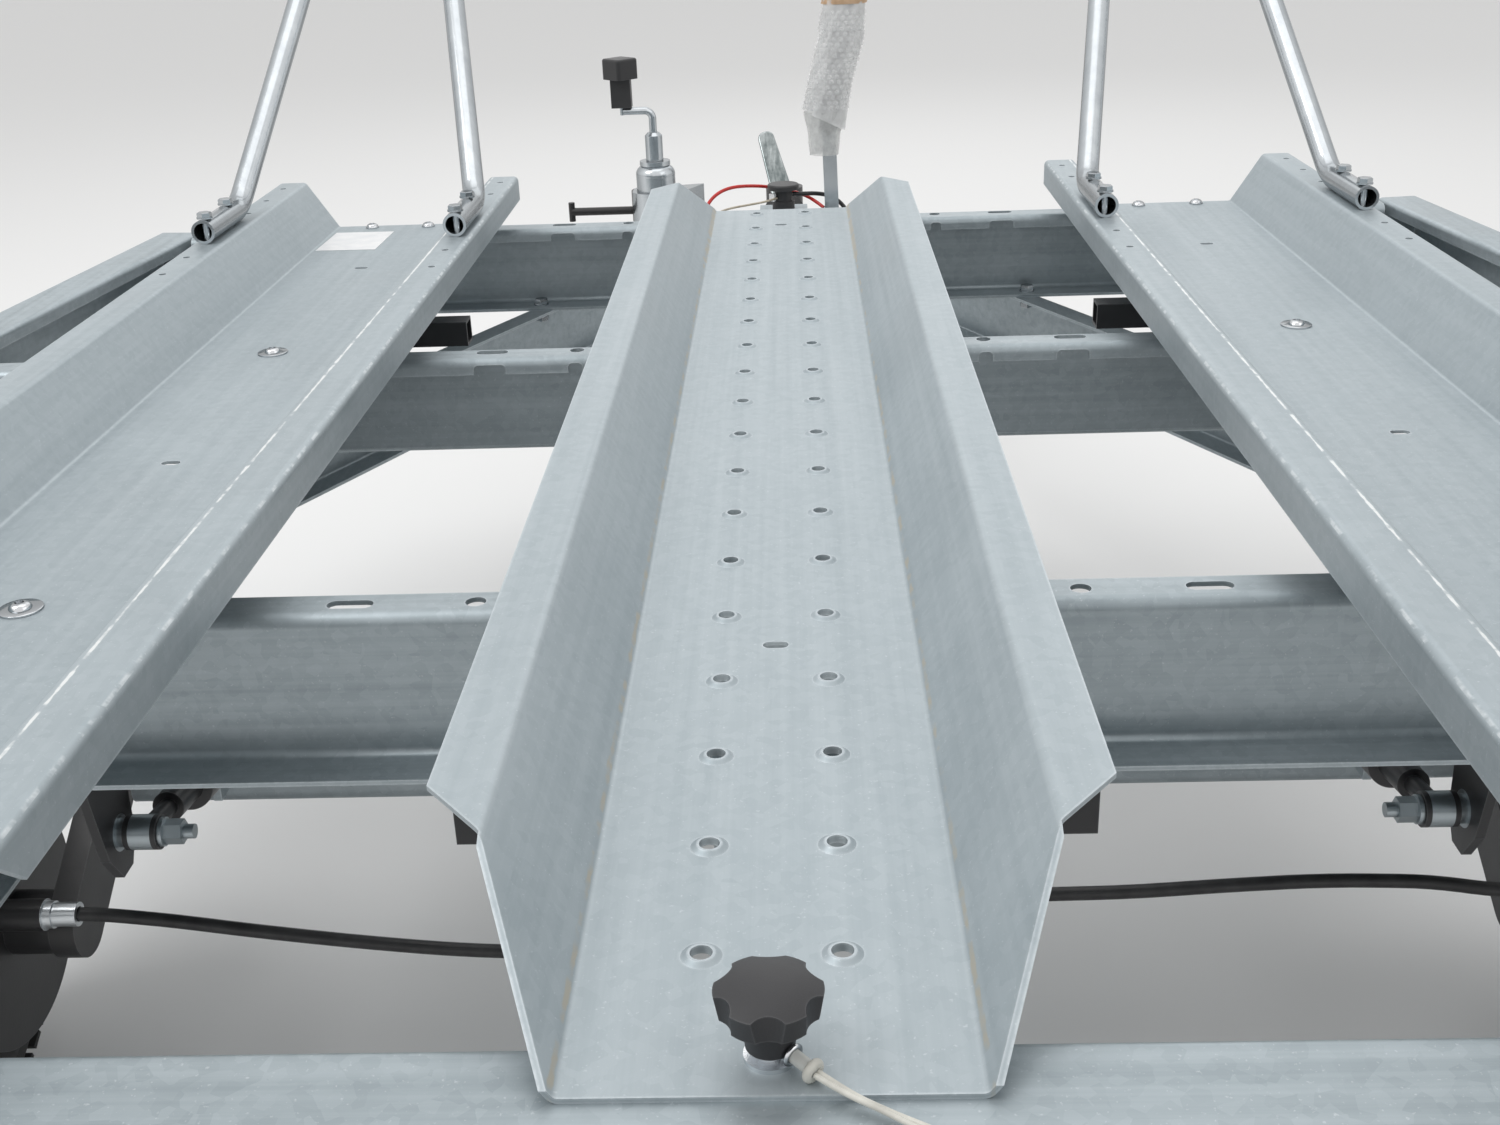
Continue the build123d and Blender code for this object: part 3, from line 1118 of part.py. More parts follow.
def jockey_tube():
    """Outer tube with its rounded shoulder and cap ring, and the bush that guides the inner tube."""
    guide_top = JOCKEY_TUBE_BOTTOM_Z + JOCKEY_GUIDE
    bore = JOCKEY_TUBE_RADIUS - JOCKEY_TUBE_WALL
    guide = JOCKEY_LEG_RADIUS + SEAT_GAP
    wall = Polyline(
        (0, JOCKEY_TUBE_TOP_Z), (JOCKEY_CAP_RADIUS, JOCKEY_TUBE_TOP_Z), (JOCKEY_CAP_RADIUS, JOCKEY_CAP_Z),
        (JOCKEY_CAP_RADIUS - 1, JOCKEY_CAP_Z - 2),
    )
    shoulder = ThreePointArc(
        (JOCKEY_CAP_RADIUS - 1, JOCKEY_CAP_Z - 2), (JOCKEY_TUBE_RADIUS - 2, JOCKEY_CAP_Z - 8),
        (JOCKEY_TUBE_RADIUS, JOCKEY_SHOULDER_Z),
    )
    inside = Polyline(
        (JOCKEY_TUBE_RADIUS, JOCKEY_SHOULDER_Z), (JOCKEY_TUBE_RADIUS, JOCKEY_TUBE_BOTTOM_Z),
        (guide, JOCKEY_TUBE_BOTTOM_Z), (guide, guide_top), (bore, guide_top), (bore, JOCKEY_SHOULDER_Z),
        (0, JOCKEY_SHOULDER_Z), (0, JOCKEY_TUBE_TOP_Z),
    )
    profile = make_face((Curve() + wall + shoulder + inside).edges())
    return Pos(JOCKEY_X, JOCKEY_Y, 0) * revolve(Plane.XZ * profile, axis=Axis.Z)


def jockey_crank():
    """Crank with its bent rod and the pin of its grip."""
    low = JOCKEY_TUBE_TOP_Z + SEAT_GAP
    high = low + CRANK_SLEEVE_LENGTH
    sleeve = bar_z(low, high, 0, 0, CRANK_SLEEVE_RADIUS)
    sleeve = chamfer(sleeve.edges().sort_by(Axis.Z)[-1], 5)
    path = FilletPolyline(
        (0, 0, high - 8), (0, 0, CRANK_TOP_Z), (-CRANK_REACH, -CRANK_LEAN, CRANK_TOP_Z + 2), radius=[14],
    )
    start = Plane(origin=path @ 0, z_dir=path % 0)
    rod = sweep(start * Circle(CRANK_ROD_RADIUS), path=path)
    end = path @ 1
    pin = bar_z(end.Z - CRANK_ROD_RADIUS, end.Z + CRANK_ROD_RADIUS + GRIP_SHANK, end.X, end.Y, GRIP_PIN)
    crank = sleeve + rod + pin
    return Pos(JOCKEY_X, JOCKEY_Y, 0) * crank, (JOCKEY_X + end.X, JOCKEY_Y + end.Y, end.Z)


def crank_grip(at):
    """Black grip on the end of the crank: a square shank under a wide cap set cornerwise."""
    x, y, z = at
    low = z + CRANK_ROD_RADIUS + SEAT_GAP
    high = low + GRIP_SHANK
    shank = Pos(0, 0, (low + high) / 2) * Box(GRIP_SHANK_WIDTH, GRIP_SHANK_WIDTH * 0.8, high - low)
    cap = Pos(0, 0, high) * extrude(
        Rot(0, 0, 45) * RectangleRounded(GRIP_CAP_SIDE, GRIP_CAP_SIDE, GRIP_CAP_CORNER), amount=GRIP_CAP
    )
    cap = fillet(cap.faces().sort_by(Axis.Z)[-1].edges(), 4)
    bore = bar_z(low - 1, z + CRANK_ROD_RADIUS + GRIP_SHANK + SEAT_GAP, 0, 0, GRIP_PIN + SEAT_GAP)
    return Pos(x, y, 0) * (shank + cap - bore)


def jockey_leg():
    """Inner tube that the crank winds up and down."""
    foot_z = JOCKEY_WHEEL_Z + JOCKEY_WHEEL_RADIUS + JOCKEY_LEG_LIFT
    return bar_z(foot_z, JOCKEY_TUBE_TOP_Z - JOCKEY_LEG_DROP, JOCKEY_X, JOCKEY_Y, JOCKEY_LEG_RADIUS)


def jockey_fork():
    """Fork that swivels under the inner tube and carries the wheel behind its axis."""
    half = JOCKEY_WHEEL_WIDTH / 2 + 7
    top = JOCKEY_WHEEL_Z + JOCKEY_WHEEL_RADIUS + 22 - SEAT_GAP
    wheel_y = JOCKEY_Y - JOCKEY_TRAIL
    fork = block(JOCKEY_X - half, JOCKEY_X + half, JOCKEY_Y - 30, JOCKEY_Y + 26, top - 6, top)
    for side in (-1, 1):
        outline = Polyline(
            (JOCKEY_Y - 30, top), (JOCKEY_Y + 26, top), (wheel_y + 14, JOCKEY_WHEEL_Z - 14),
            (wheel_y - 14, JOCKEY_WHEEL_Z - 14), close=True,
        )
        x = JOCKEY_X + side * half
        fork += along_x(make_face(outline), min(x, x - side * 5), 5)
    fork += bar_x(JOCKEY_X - half - 4, JOCKEY_X + half + 4, wheel_y, JOCKEY_WHEEL_Z, 8)
    return fork


def jockey_wheel():
    """Solid-tyred wheel of the jockey."""
    half = JOCKEY_WHEEL_WIDTH / 2
    bore = 8 + STUB_CLEARANCE
    hub, web, tread = 26, 66, JOCKEY_WHEEL_RADIUS
    outline = [
        (-half, bore), (-half, hub), (-half + 14, hub + 8), (-half + 14, web), (-half, web + 4),
        (-half + 6, tread), (half - 6, tread), (half, web + 4), (half - 14, web), (half - 14, hub + 8),
        (half, hub), (half, bore),
    ]
    placed = [(JOCKEY_X + a, r) for a, r in outline]
    return revolve_x(placed, JOCKEY_Y - JOCKEY_TRAIL, JOCKEY_WHEEL_Z)


# Loose cords, each a diameter and a list of hand-chosen points
LOOSE_CORDS = {
    "red_cord": (6.5, [
        (76, 2548, -123), (61, 2561, -113), (40, 2584, -105), (6, 2596, -97), (-31, 2588, -88),
        (-66, 2561, -80.5), (-97, 2537, -77.5), (-122, 2516, -83), (-141, 2497, -98), (-150, 2478, -122),
        (-144, 2457, -150), (-127, 2440.5, -171), (-110.4, 2427.9, -181.3),
    ]),
    "plug_cable": (8.0, [
        (17.4, 2560, -98), (38, 2561, -98.5), (60, 2570, -100), (84, 2577, -105), (106, 2572, -116),
        (121, 2552, -132), (127, 2524, -148), (130, 2496, -160), (129, 2470, -167), (122, 2449, -170),
        (108.8, 2431.5, -171.1),
    ]),
    "beige_cord": (4.0, [
        (-12.4, 2547.6, -103), (-29, 2522, -103), (-62, 2500, -104), (-92, 2489, -106), (-118, 2478, -110),
        (-135, 2462, -124), (-138, 2446, -142), (-128, 2434, -158), (-110.5, 2424.9, -160),
    ]),
    "lanyard": (5.0, [
        (21.3, 8.2, 8.6), (35, -2.5, 6.4), (50, -10.5, 4.4), (64, -19.5, 3.8), (80, -30, 4.2),
        (94, -41.5, 1.5), (104, -49, -9), (108, -51.5, -23), (108, -49, -34), (108, -41, -41.6),
    ]),
}


def save(name, shape):
    """Write one node to its own file, in the frame of the whole trailer."""
    placed = SHIFT * shape
    export_step(placed, "parts/" + name + ".step")


def main():
    os.makedirs("parts", exist_ok=True)
    crank, crank_end = jockey_crank()
    right_hand = {
        "rail": side_rail(),
        "hoop": hoop(),
        "side_beam": side_beam(),
        "drawbar_arm": drawbar_arm(),
        "tyre": tyre(),
        "rim": rim(),
        "drum": drum(),
        "swing_arm": swing_arm(),
        "damper": damper(),
    }
    for name, solid in right_hand.items():
        save(name + "_right", solid)
        save(name + "_left", mirrored(solid))
    brackets = damper_bracket()
    guards = mudguard()
    lamp = rear_lamp()
    single = {
        "damper_brackets": Compound(children=[brackets, mirrored(brackets)]),
        "lamps": Compound(children=[lamp, mirrored(lamp)]),
        "mudguards": Compound(children=[guards, mirrored(guards)]),
        "rail_centre": centre_rail(),
        "star_knob": star_knob(),
        "crossmember_front": lipped_member(FRONT_MEMBER_Y, -1),
        "crossmember_middle": lipped_member(MIDDLE_MEMBER_Y, 1),
        "crossmember_rear": stepped_member(REAR_MEMBER_Y),
        "rear_beam": rear_beam(),
        "lash_bars": lash_bars(),
        "axle_tube": axle_tube(),
        "brake_cable_left": brake_cable(LEFT_CABLE),
        "brake_cable_right": brake_cable(RIGHT_CABLE),
        "brake_rod": brake_rod(),
        "overrun_housing": overrun_housing(),
        "gaiter": gaiter(),
        "coupling_head": coupling_head(),
        "coupling_handle": coupling_handle(),
        "handbrake_lever": handbrake_lever(),
        "lever_wrap": lever_wrap(),
        "plug": plug(),
        "jockey_clamp": jockey_clamp(),
        "jockey_tube": jockey_tube(),
        "jockey_crank": crank,
        "jockey_grip": crank_grip(crank_end),
        "jockey_leg": jockey_leg(),
        "jockey_fork": jockey_fork(),
        "jockey_wheel": jockey_wheel(),
    }
    for name, solid in single.items():
        save(name, solid)
    for name, (diameter, points) in LOOSE_CORDS.items():
        save(name, cord(points, diameter, name))


main()
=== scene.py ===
from math import cos, pi, radians, sin

import bmesh
import bpy
from bpy.props import FloatProperty, FloatVectorProperty, IntProperty, PointerProperty
from mathutils import Matrix, Vector


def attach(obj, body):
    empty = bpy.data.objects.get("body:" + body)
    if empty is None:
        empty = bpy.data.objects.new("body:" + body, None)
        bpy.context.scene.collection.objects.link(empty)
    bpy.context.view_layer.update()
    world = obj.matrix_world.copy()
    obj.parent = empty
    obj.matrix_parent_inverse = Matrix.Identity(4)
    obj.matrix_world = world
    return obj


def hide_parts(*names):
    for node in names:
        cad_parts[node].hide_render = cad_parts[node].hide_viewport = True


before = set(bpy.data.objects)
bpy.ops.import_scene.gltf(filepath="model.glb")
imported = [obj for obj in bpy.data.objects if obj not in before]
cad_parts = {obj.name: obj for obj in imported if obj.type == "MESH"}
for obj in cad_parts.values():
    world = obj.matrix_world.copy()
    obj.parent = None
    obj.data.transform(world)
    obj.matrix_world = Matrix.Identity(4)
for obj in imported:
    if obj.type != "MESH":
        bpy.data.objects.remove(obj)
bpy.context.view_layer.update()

bl_info = {
    "name": "Motorcycle trailer finish",
    "version": (1, 0, 0),
    "blender": (4, 5, 0),
    "location": "3D View > Sidebar > Trailer",
    "description": "Finishes, fasteners, cords and stage for a motorcycle trailer",
    "category": "Object",
}

# Places are given in millimetres from the rear end of the centre rail and the tops of the crossmembers
DECK_HEIGHT = 665.0
SHIFT_Y = -1455.0
MM = 0.001

# Camera
CAMERA_PLACE = (0.0202, -2.043, 1.1941)
CAMERA_PITCH = 23.831
CAMERA_YAW = 1.991
CAMERA_ROLL = -2.115
CAMERA_LENS = 39.528
SENSOR_WIDTH = 36.0

# Sizes that the finish shares with the solids, in millimetres
RAIL_X = 576.0
RAIL_FLOOR_Z = 3.0
SIDE_EDGE_X = 394.0
SCUFF_X = 431.0
FLANGE_LOW = 68.0
DUST_LINE_X = 101.5
DUST_FRONT_Y = 1600.0
NO_LIMIT = -9999.0
FLANGE_HOLE_X = 162.3
HOOP_FOOT_TOP = 101.3
HOOP_BOLT_Y = (1515.4, 1601.8)
WHEEL_X = 880.0
WHEEL_Y = 680.0
WHEEL_Z = -384.0
TYRE_HALF = 72.5
TYRE_RADIUS = 281.0
RIM_RADIUS = 170.3
KNOB_Y = 27.0
KNOB_METAL_TOP = 10.6
CRIMP_TOP = 20.0
CRIMP_INNER_RADIUS = 13.3
LEVER_Y = 2545.0
FILM_Y = LEVER_Y + 1
FERRULE_Y = 636.0
FERRULE_Z = -345.0
FERRULE_RADIUS = 16.5
FERRULE_END_X = 672.2
DAMPER_Y = 540.0
DAMPER_Z = -197.0
DAMPER_RINGS_X = (508.5, 531.5)
DAMPER_RING_HALF = 2.4
DAMPER_EYE_REACH = 17.0
DAMPER_BOLT_REACH = 15.5
CLAMP_HANDLE_X = -262.0
JOCKEY_WHEEL_Y = 2275.0
JOCKEY_WHEEL_Z = -565.0
JOCKEY_WEB_RADIUS = 67.5
LAMP_BASE_Y = -53.0
LAMP_AMBER_X = 954.0

# Cords: diameter, length, stiffness, lay, which end leaves the object, what is on the far end, and the route
CORDS = {
    "red_cord": (6.5, 396.6, "medium", "hanging", 0, "object", [
        (76, 2548, -123), (61, 2561, -113), (40, 2584, -105), (6, 2596, -97), (-31, 2588, -88),
        (-66, 2561, -80.5), (-97, 2537, -77.5), (-122, 2516, -83), (-141, 2497, -98), (-150, 2478, -122),
        (-144, 2457, -150), (-127, 2440.5, -171), (-110.4, 2427.9, -181.3),
    ]),
    "plug_cable": (8.0, 257.1, "medium", "hanging", -1, "plug", [
        (17.4, 2560, -98), (38, 2561, -98.5), (60, 2570, -100), (84, 2577, -105), (106, 2572, -116),
        (121, 2552, -132), (127, 2524, -148), (130, 2496, -160), (129, 2470, -167), (122, 2449, -170),
        (108.8, 2431.5, -171.1),
    ]),
    "beige_cord": (4.0, 221.2, "limp", "hanging", -1, "object", [
        (-12.4, 2547.6, -103), (-29, 2522, -103), (-62, 2500, -104), (-92, 2489, -106), (-118, 2478, -110),
        (-135, 2462, -124), (-138, 2446, -142), (-128, 2434, -158), (-110.5, 2424.9, -160),
    ]),
    "lanyard": (5.0, 140.9, "limp", "loose", 0, "object", [
        (21.3, 8.2, 8.6), (35, -2.5, 6.4), (50, -10.5, 4.4), (64, -19.5, 3.8), (80, -30, 4.2),
        (94, -41.5, 1.5), (104, -49, -9), (108, -51.5, -23), (108, -49, -34), (108, -41, -41.6),
    ]),
}

# Crimp of the lanyard at the knob
CRIMP_START = (5, 23.9, 12)
CRIMP_END = (21, 8.5, 8.7)

# White tab where the beige cord meets the plug
TAB_CORNERS = [(-27, 2547), (-17.4, 2541), (-14.4, 2546), (-24, 2552)]
TAB_HEIGHTS = (-108, -94)

# Button-head screws on the side rails: distance outward from the rail's middle and place along it
WASHER_SCREWS = [(5.5, 544.6), (6.3, 1229)]
PLAIN_SCREWS = [(-41.6, 1890.5), (44.2, 1892.5)]

# Film round the handbrake's grip: height, left edge, right edge and depth
FILM_SECTIONS = [(-24, 52, 106, 30), (13, 49, 108.5, 38), (56, 41, 120, 48)]
BUBBLE_SECTIONS = [
    (38, 45, 118, 46), (50, 41, 120, 48), (109, 49, 132, 52), (182, 72, 150.5, 50), (252, 79, 158, 44),
]
TAPE_SECTIONS = [(245, 77, 159, 46), (249, 78, 160.5, 47), (262, 82, 162, 45), (266, 84, 161, 43)]
FILM_STEPS = 18
BUBBLE_FILM_STEPS = 44
BUBBLE_FILM_TURNS = 64
BUBBLE_FILM_WALL = 1.2
BUBBLE_EDGE = (40, 19)      # middle height of the bubble film's lower edge, and how far it slants
BUBBLE_ROWS = (64, 248)     # heights between which its bubbles lie
BUBBLE_GAP = 1.12
BUBBLE_ROW_SHARE = 0.87     # distance between rows, as a share of that between bubbles

# Grip inside the film: rings along it, where it starts, their spacing, half width and depth
GRIP_RINGS = 36
GRIP_LOW = 14
GRIP_STEP = 8.2
GRIP_HALF = 17
GRIP_DEPTH = 24

# Half of a tyre's outline: distance from its middle, with height above the rim or depth below the crown
TYRE_WALL = [(54.5, 0), (58, 10), (66, 24), (TYRE_HALF, 52), (71.3, 66), (69.5, 68), (69, 84)]
TYRE_SHOULDER = [(62.5, 12.5), (56, 4.5), (48, 2)]
GROOVES_X = (-31, 0, 31)
GROOVE_HALF = 4.2
GROOVE_FLOOR = 0.7          # half width of a groove's floor, as a share of its half width at the top
GROOVE_LIP = 0.4

# Rows of tread blocks: distance from the tyre's middle, depth below its crown and width
TREAD_ROWS = [(-60.5, 8.5, 17), (60.5, 8.5, 17), (-15.5, 3, 22.5), (15.5, 3, 22.5)]
TREAD_BLOCK = (5.8, 18.5)

# Hexagon bolts: width across flats, height of the head and reach below the washer
HOOP_BOLT = (16.5, 6.2, 46)
FRAME_BOLT = (18, 7.5, 26)

# Bolts of the frame's right half: place, and whether they face up or down
FRAME_BOLTS = [
    (371, 1880, -120, 1.0), (640, 1212, -120, 1.0), (628, 506, -120, 1.0), (640, 790, -228, -1.0),
    (640, 874, -228, -1.0),
]

# Stage, in metres: reach of the floor, the sky's strength on matt surfaces, and the lamps' aim.
# Each lamp has a name, a place, a width and a power.
FLOOR_REACH = 400.0
SKY_ON_MATT = 0.72
LAMP_AIM = (0, 0.1, 0.5)
LAMPS = [
    ("key", (-3.2, -1.6, 4.8), 2.6, 95.0), ("fill", (3.8, -2.2, 3.6), 3.4, 20.0),
    ("front", (0.6, 4.6, 3.8), 3.6, 30.0), ("top", (0.0, 0.6, 5.4), 4.0, 35.0),
]


def at(x, y, z):
    """A place on the trailer, in metres above the ground, from millimetres along its deck."""
    return Vector((x, y + SHIFT_Y, z + DECK_HEIGHT)) * MM


class TrailerFinish(bpy.types.PropertyGroup):
    """Sizes and colours that someone may want to change."""

    sheet_pale: FloatVectorProperty(
        name="Sheet, pale", description="Lighter tone of the rails' galvanised sheet",
        default=(0.405, 0.455, 0.480), subtype="COLOR", min=0.0, max=1.0)
    sheet_dark: FloatVectorProperty(
        name="Sheet, dark", description="Darker tone of the rails' galvanised sheet",
        default=(0.325, 0.375, 0.400), subtype="COLOR", min=0.0, max=1.0)
    frame_pale: FloatVectorProperty(
        name="Frame, pale", description="Lighter tone of the frame's galvanised steel",
        default=(0.400, 0.450, 0.475), subtype="COLOR", min=0.0, max=1.0)
    frame_dark: FloatVectorProperty(
        name="Frame, dark", description="Darker tone of the frame's galvanised steel",
        default=(0.285, 0.330, 0.352), subtype="COLOR", min=0.0, max=1.0)
    cord_red: FloatVectorProperty(
        name="Red cord", description="Colour of the breakaway cord",
        default=(0.62, 0.028, 0.022), subtype="COLOR", min=0.0, max=1.0)
    floor_tint: FloatVectorProperty(
        name="Floor", description="Colour of the stage's floor",
        default=(0.86, 0.86, 0.855), subtype="COLOR", min=0.0, max=1.0)
    screw_head: FloatProperty(
        name="Screw head", description="Diameter of the button heads on the rails",
        default=0.0178, subtype="DISTANCE", unit="LENGTH", min=0.005, max=0.05)
    screw_washer: FloatProperty(
        name="Screw washer", description="Diameter of the washers under the button heads",
        default=0.034, subtype="DISTANCE", unit="LENGTH", min=0.008, max=0.06)
    tread_blocks: IntProperty(
        name="Tread blocks", description="Shoulder blocks round each tyre", default=66, min=20, max=120)
    tread_groove: FloatProperty(
        name="Tread groove", description="Depth of the grooves round each tyre",
        default=0.006, subtype="DISTANCE", unit="LENGTH", min=0.001, max=0.01)
    bubble: FloatProperty(
        name="Bubble", description="Diameter of the bubbles in the packing film",
        default=0.0095, subtype="DISTANCE", unit="LENGTH", min=0.004, max=0.02)
    light: FloatProperty(
        name="Light", description="Share of the stage's lamps that is on",
        default=1.0, subtype="FACTOR", min=0.0, max=2.0)


# Node trees

class Tree:
    """A node tree with a short way to add nodes."""

    def __init__(self, tree):
        self.tree = tree
        self.column = 0

    def node(self, kind, inputs=None, **settings):
        """Add one node; an input takes a value or the socket that feeds it."""
        made = self.tree.nodes.new(kind)
        made.location = (self.column * 190, 0)
        self.column += 1
        for name, value in settings.items():
            setattr(made, name, value)
        for key, value in (inputs or {}).items():
            if isinstance(value, bpy.types.NodeSocket):
                self.tree.links.new(value, made.inputs[key])
            else:
                made.inputs[key].default_value = value
        return made

    def maths(self, operation, first, second=0.0):
        """One sum on two values or sockets."""
        return self.node("ShaderNodeMath", {0: first, 1: second}, operation=operation).outputs[0]

    def ramp(self, value, low, high, to_low=0.0, to_high=1.0):
        """A value spread from one range to another, clamped."""
        made = self.node("ShaderNodeMapRange", {0: value, 1: low, 2: high, 3: to_low, 4: to_high})
        return made.outputs[0]

    def blend(self, factor, first, second):
        """Two colours mixed by a factor."""
        made = self.node("ShaderNodeMix", {0: factor, 6: first, 7: second}, data_type="RGBA")
        return made.outputs[2]

    def noise(self, vector, scale, detail=4.0, roughness=0.55):
        """Noise, as a value about one half."""
        made = self.node("ShaderNodeTexNoise", {
            "Vector": vector, "Scale": scale, "Detail": detail, "Roughness": roughness})
        return made.outputs["Fac"]

    def place(self):
        """The piece's own coordinates."""
        return self.node("ShaderNodeTexCoord").outputs["Object"]

    def shared(self, name, **inputs):
        """Add one of the shared groups and give its outputs."""
        return self.node("ShaderNodeGroup", inputs, node_tree=group(name)).outputs


def shader_group(name, inputs, outputs):
    """A shared shader node group with its named sockets."""
    tree = bpy.data.node_groups.new(name, "ShaderNodeTree")
    for label, kind, value in inputs:
        socket = tree.interface.new_socket(name=label, in_out="INPUT", socket_type="NodeSocket" + kind)
        socket.default_value = value
    for label, kind in outputs:
        tree.interface.new_socket(name=label, in_out="OUTPUT", socket_type="NodeSocket" + kind)
    return Tree(tree)


def galvanised_group():
    """Zinc coat: rolling lines, soft clouds and faint spangle."""
    tree = shader_group(
        "Zinc coat",
        [("Pale", "Color", (0.6, 0.6, 0.6, 1)), ("Dark", "Color", (0.4, 0.4, 0.4, 1)),
         ("Stretch", "Vector", (1, 1, 1)), ("Clouds", "Float", 6.0), ("Smooth", "Float", 0.35),
         ("Dull", "Float", 0.55), ("Spangle", "Float", 0.1)],
        [("Color", "Color"), ("Roughness", "Float"), ("Height", "Float")])
    given = tree.node("NodeGroupInput").outputs
    place = tree.place()
    stretched = tree.node("ShaderNodeMapping", {"Vector": place, "Scale": given["Stretch"]})
    lines = tree.noise(stretched.outputs[0], 1.0, 6.0, 0.62)
    clouds = tree.noise(place, given["Clouds"], 5.0, 0.6)
    spangle = tree.node("ShaderNodeTexVoronoi", {"Vector": place, "Scale": 130.0}).outputs["Color"]
    spangle = tree.node("ShaderNodeSeparateColor", {0: spangle}).outputs[0]
    mixed = tree.maths("ADD", tree.maths("MULTIPLY", lines, 0.45), tree.maths("MULTIPLY", clouds, 0.45))
    grains = tree.maths("MULTIPLY", spangle, given["Spangle"])
    mixed = tree.maths("ADD", mixed, grains)
    share = tree.ramp(mixed, 0.36, 0.62)
    colour = tree.blend(share, given["Dark"], given["Pale"])
    specks = tree.ramp(tree.noise(place, 420.0, 2.0), 0.66, 0.74)
    colour = tree.blend(tree.maths("MULTIPLY", specks, 0.30), colour, (0.72, 0.75, 0.77, 1))
    rough = tree.ramp(clouds, 0.32, 0.68, given["Smooth"], given["Dull"])
    height = tree.maths("ADD", tree.maths("MULTIPLY", lines, 0.7), grains)
    tree.node("NodeGroupOutput", {"Color": colour, "Roughness": rough, "Height": height})
    return tree.tree


def edge_group():
    """Paler edges, broken up by noise: wear, and on the zinc finishes also a painted highlight along the
    folds.
    """
    tree = shader_group(
        "Edge wear and fold highlight", [("Radius", "Float", 0.002), ("Breaks", "Float", 260.0), ("Amount", "Float", 0.6)],
        [("Mask", "Float")])
    given = tree.node("NodeGroupInput").outputs
    rounded = tree.node("ShaderNodeBevel", {"Radius": given["Radius"]}, samples=4).outputs[0]
    plain = tree.node("ShaderNodeNewGeometry").outputs["Normal"]
    same = tree.node("ShaderNodeVectorMath", {0: rounded, 1: plain}, operation="DOT_PRODUCT").outputs["Value"]
    edge = tree.ramp(same, 0.995, 0.93)
    breaks = tree.ramp(tree.noise(tree.place(), given["Breaks"], 3.0), 0.36, 0.56, 0.55, 1.0)
    mask = tree.maths("MULTIPLY", tree.maths("MULTIPLY", edge, breaks), given["Amount"])
    tree.node("NodeGroupOutput", {"Mask": mask})
    return tree.tree


def grain_group():
    """Moulded or painted skin: fine grain, with soft changes of tone."""
    tree = shader_group(
        "Fine grain", [("Scale", "Float", 900.0), ("Clouds", "Float", 12.0)],
        [("Tone", "Float"), ("Height", "Float")])
    given = tree.node("NodeGroupInput").outputs
    place = tree.place()
    fine = tree.noise(place, given["Scale"], 2.0)
    clouds = tree.noise(place, given["Clouds"], 4.0)
    tree.node("NodeGroupOutput", {"Tone": tree.ramp(clouds, 0.3, 0.7), "Height": fine})
    return tree.tree


def band_group():
    """A narrow line along the trailer at one distance from its middle, broken up by noise."""
    tree = shader_group(
        "Scuffed line",
        [("Place", "Float", 0.4), ("Width", "Float", 0.003), ("Breaks", "Float", 60.0),
         ("Cover", "Float", 0.3), ("Above", "Float", -10.0), ("Ahead", "Float", -10.0)],
        [("Mask", "Float")])
    given = tree.node("NodeGroupInput").outputs
    place = tree.place()
    aside, along, upward = tree.node("ShaderNodeSeparateXYZ", {0: place}).outputs
    wander = tree.maths("MULTIPLY", tree.maths("SUBTRACT", tree.noise(place, 70.0), 0.5), 0.003)
    away = tree.maths("SUBTRACT", tree.maths("ABSOLUTE", aside), given["Place"])
    away = tree.maths("ADD", tree.maths("ABSOLUTE", away), wander)
    near = tree.maths("SUBTRACT", 1.0, tree.maths("DIVIDE", away, given["Width"]))
    near = tree.ramp(near, 0.0, 0.5)
    cover = tree.maths("MULTIPLY", given["Cover"], 0.3)
    breaks = tree.ramp(tree.maths("ADD", tree.noise(place, given["Breaks"], 3.0), cover), 0.54, 0.68)
    mask = tree.maths("MULTIPLY", near, breaks)
    mask = tree.maths("MULTIPLY", mask, tree.maths("GREATER_THAN", upward, given["Above"]))
    mask = tree.maths("MULTIPLY", mask, tree.maths("GREATER_THAN", along, given["Ahead"]))
    tree.node("NodeGroupOutput", {"Mask": mask})
    return tree.tree


GROUPS = {}


def group(name):
    """The shared group of that name, built once."""
    makers = {"zinc": galvanised_group, "edge": edge_group, "grain": grain_group, "band": band_group}
    if name not in GROUPS:
        GROUPS[name] = makers[name]()
    return GROUPS[name]


def finish():
    """The sizes and colours in use."""
    return bpy.context.scene.trailer_finish


def opaque(colour):
    """A colour with its fourth number."""
    return (colour[0], colour[1], colour[2], 1.0)


def started(name):
    """A new material with its tree, its shader and its output."""
    material = bpy.data.materials.new(name)
    material.use_nodes = True
    material.node_tree.nodes.clear()
    tree = Tree(material.node_tree)
    shader = tree.node("ShaderNodeBsdfPrincipled")
    tree.node("ShaderNodeOutputMaterial", {"Surface": shader.outputs[0]})
    return material, tree, shader


def feed(tree, shader, **sockets):
    """Link colours and values to the shader's sockets."""
    for name, socket in sockets.items():
        tree.tree.links.new(socket, shader.inputs[name.replace("_", " ")])


def bumped(tree, shader, height, depth, strength=0.4):
    """Fine relief on the shader's normal."""
    bump = tree.node("ShaderNodeBump", {"Height": height, "Distance": depth, "Strength": strength})
    feed(tree, shader, Normal=bump.outputs[0])


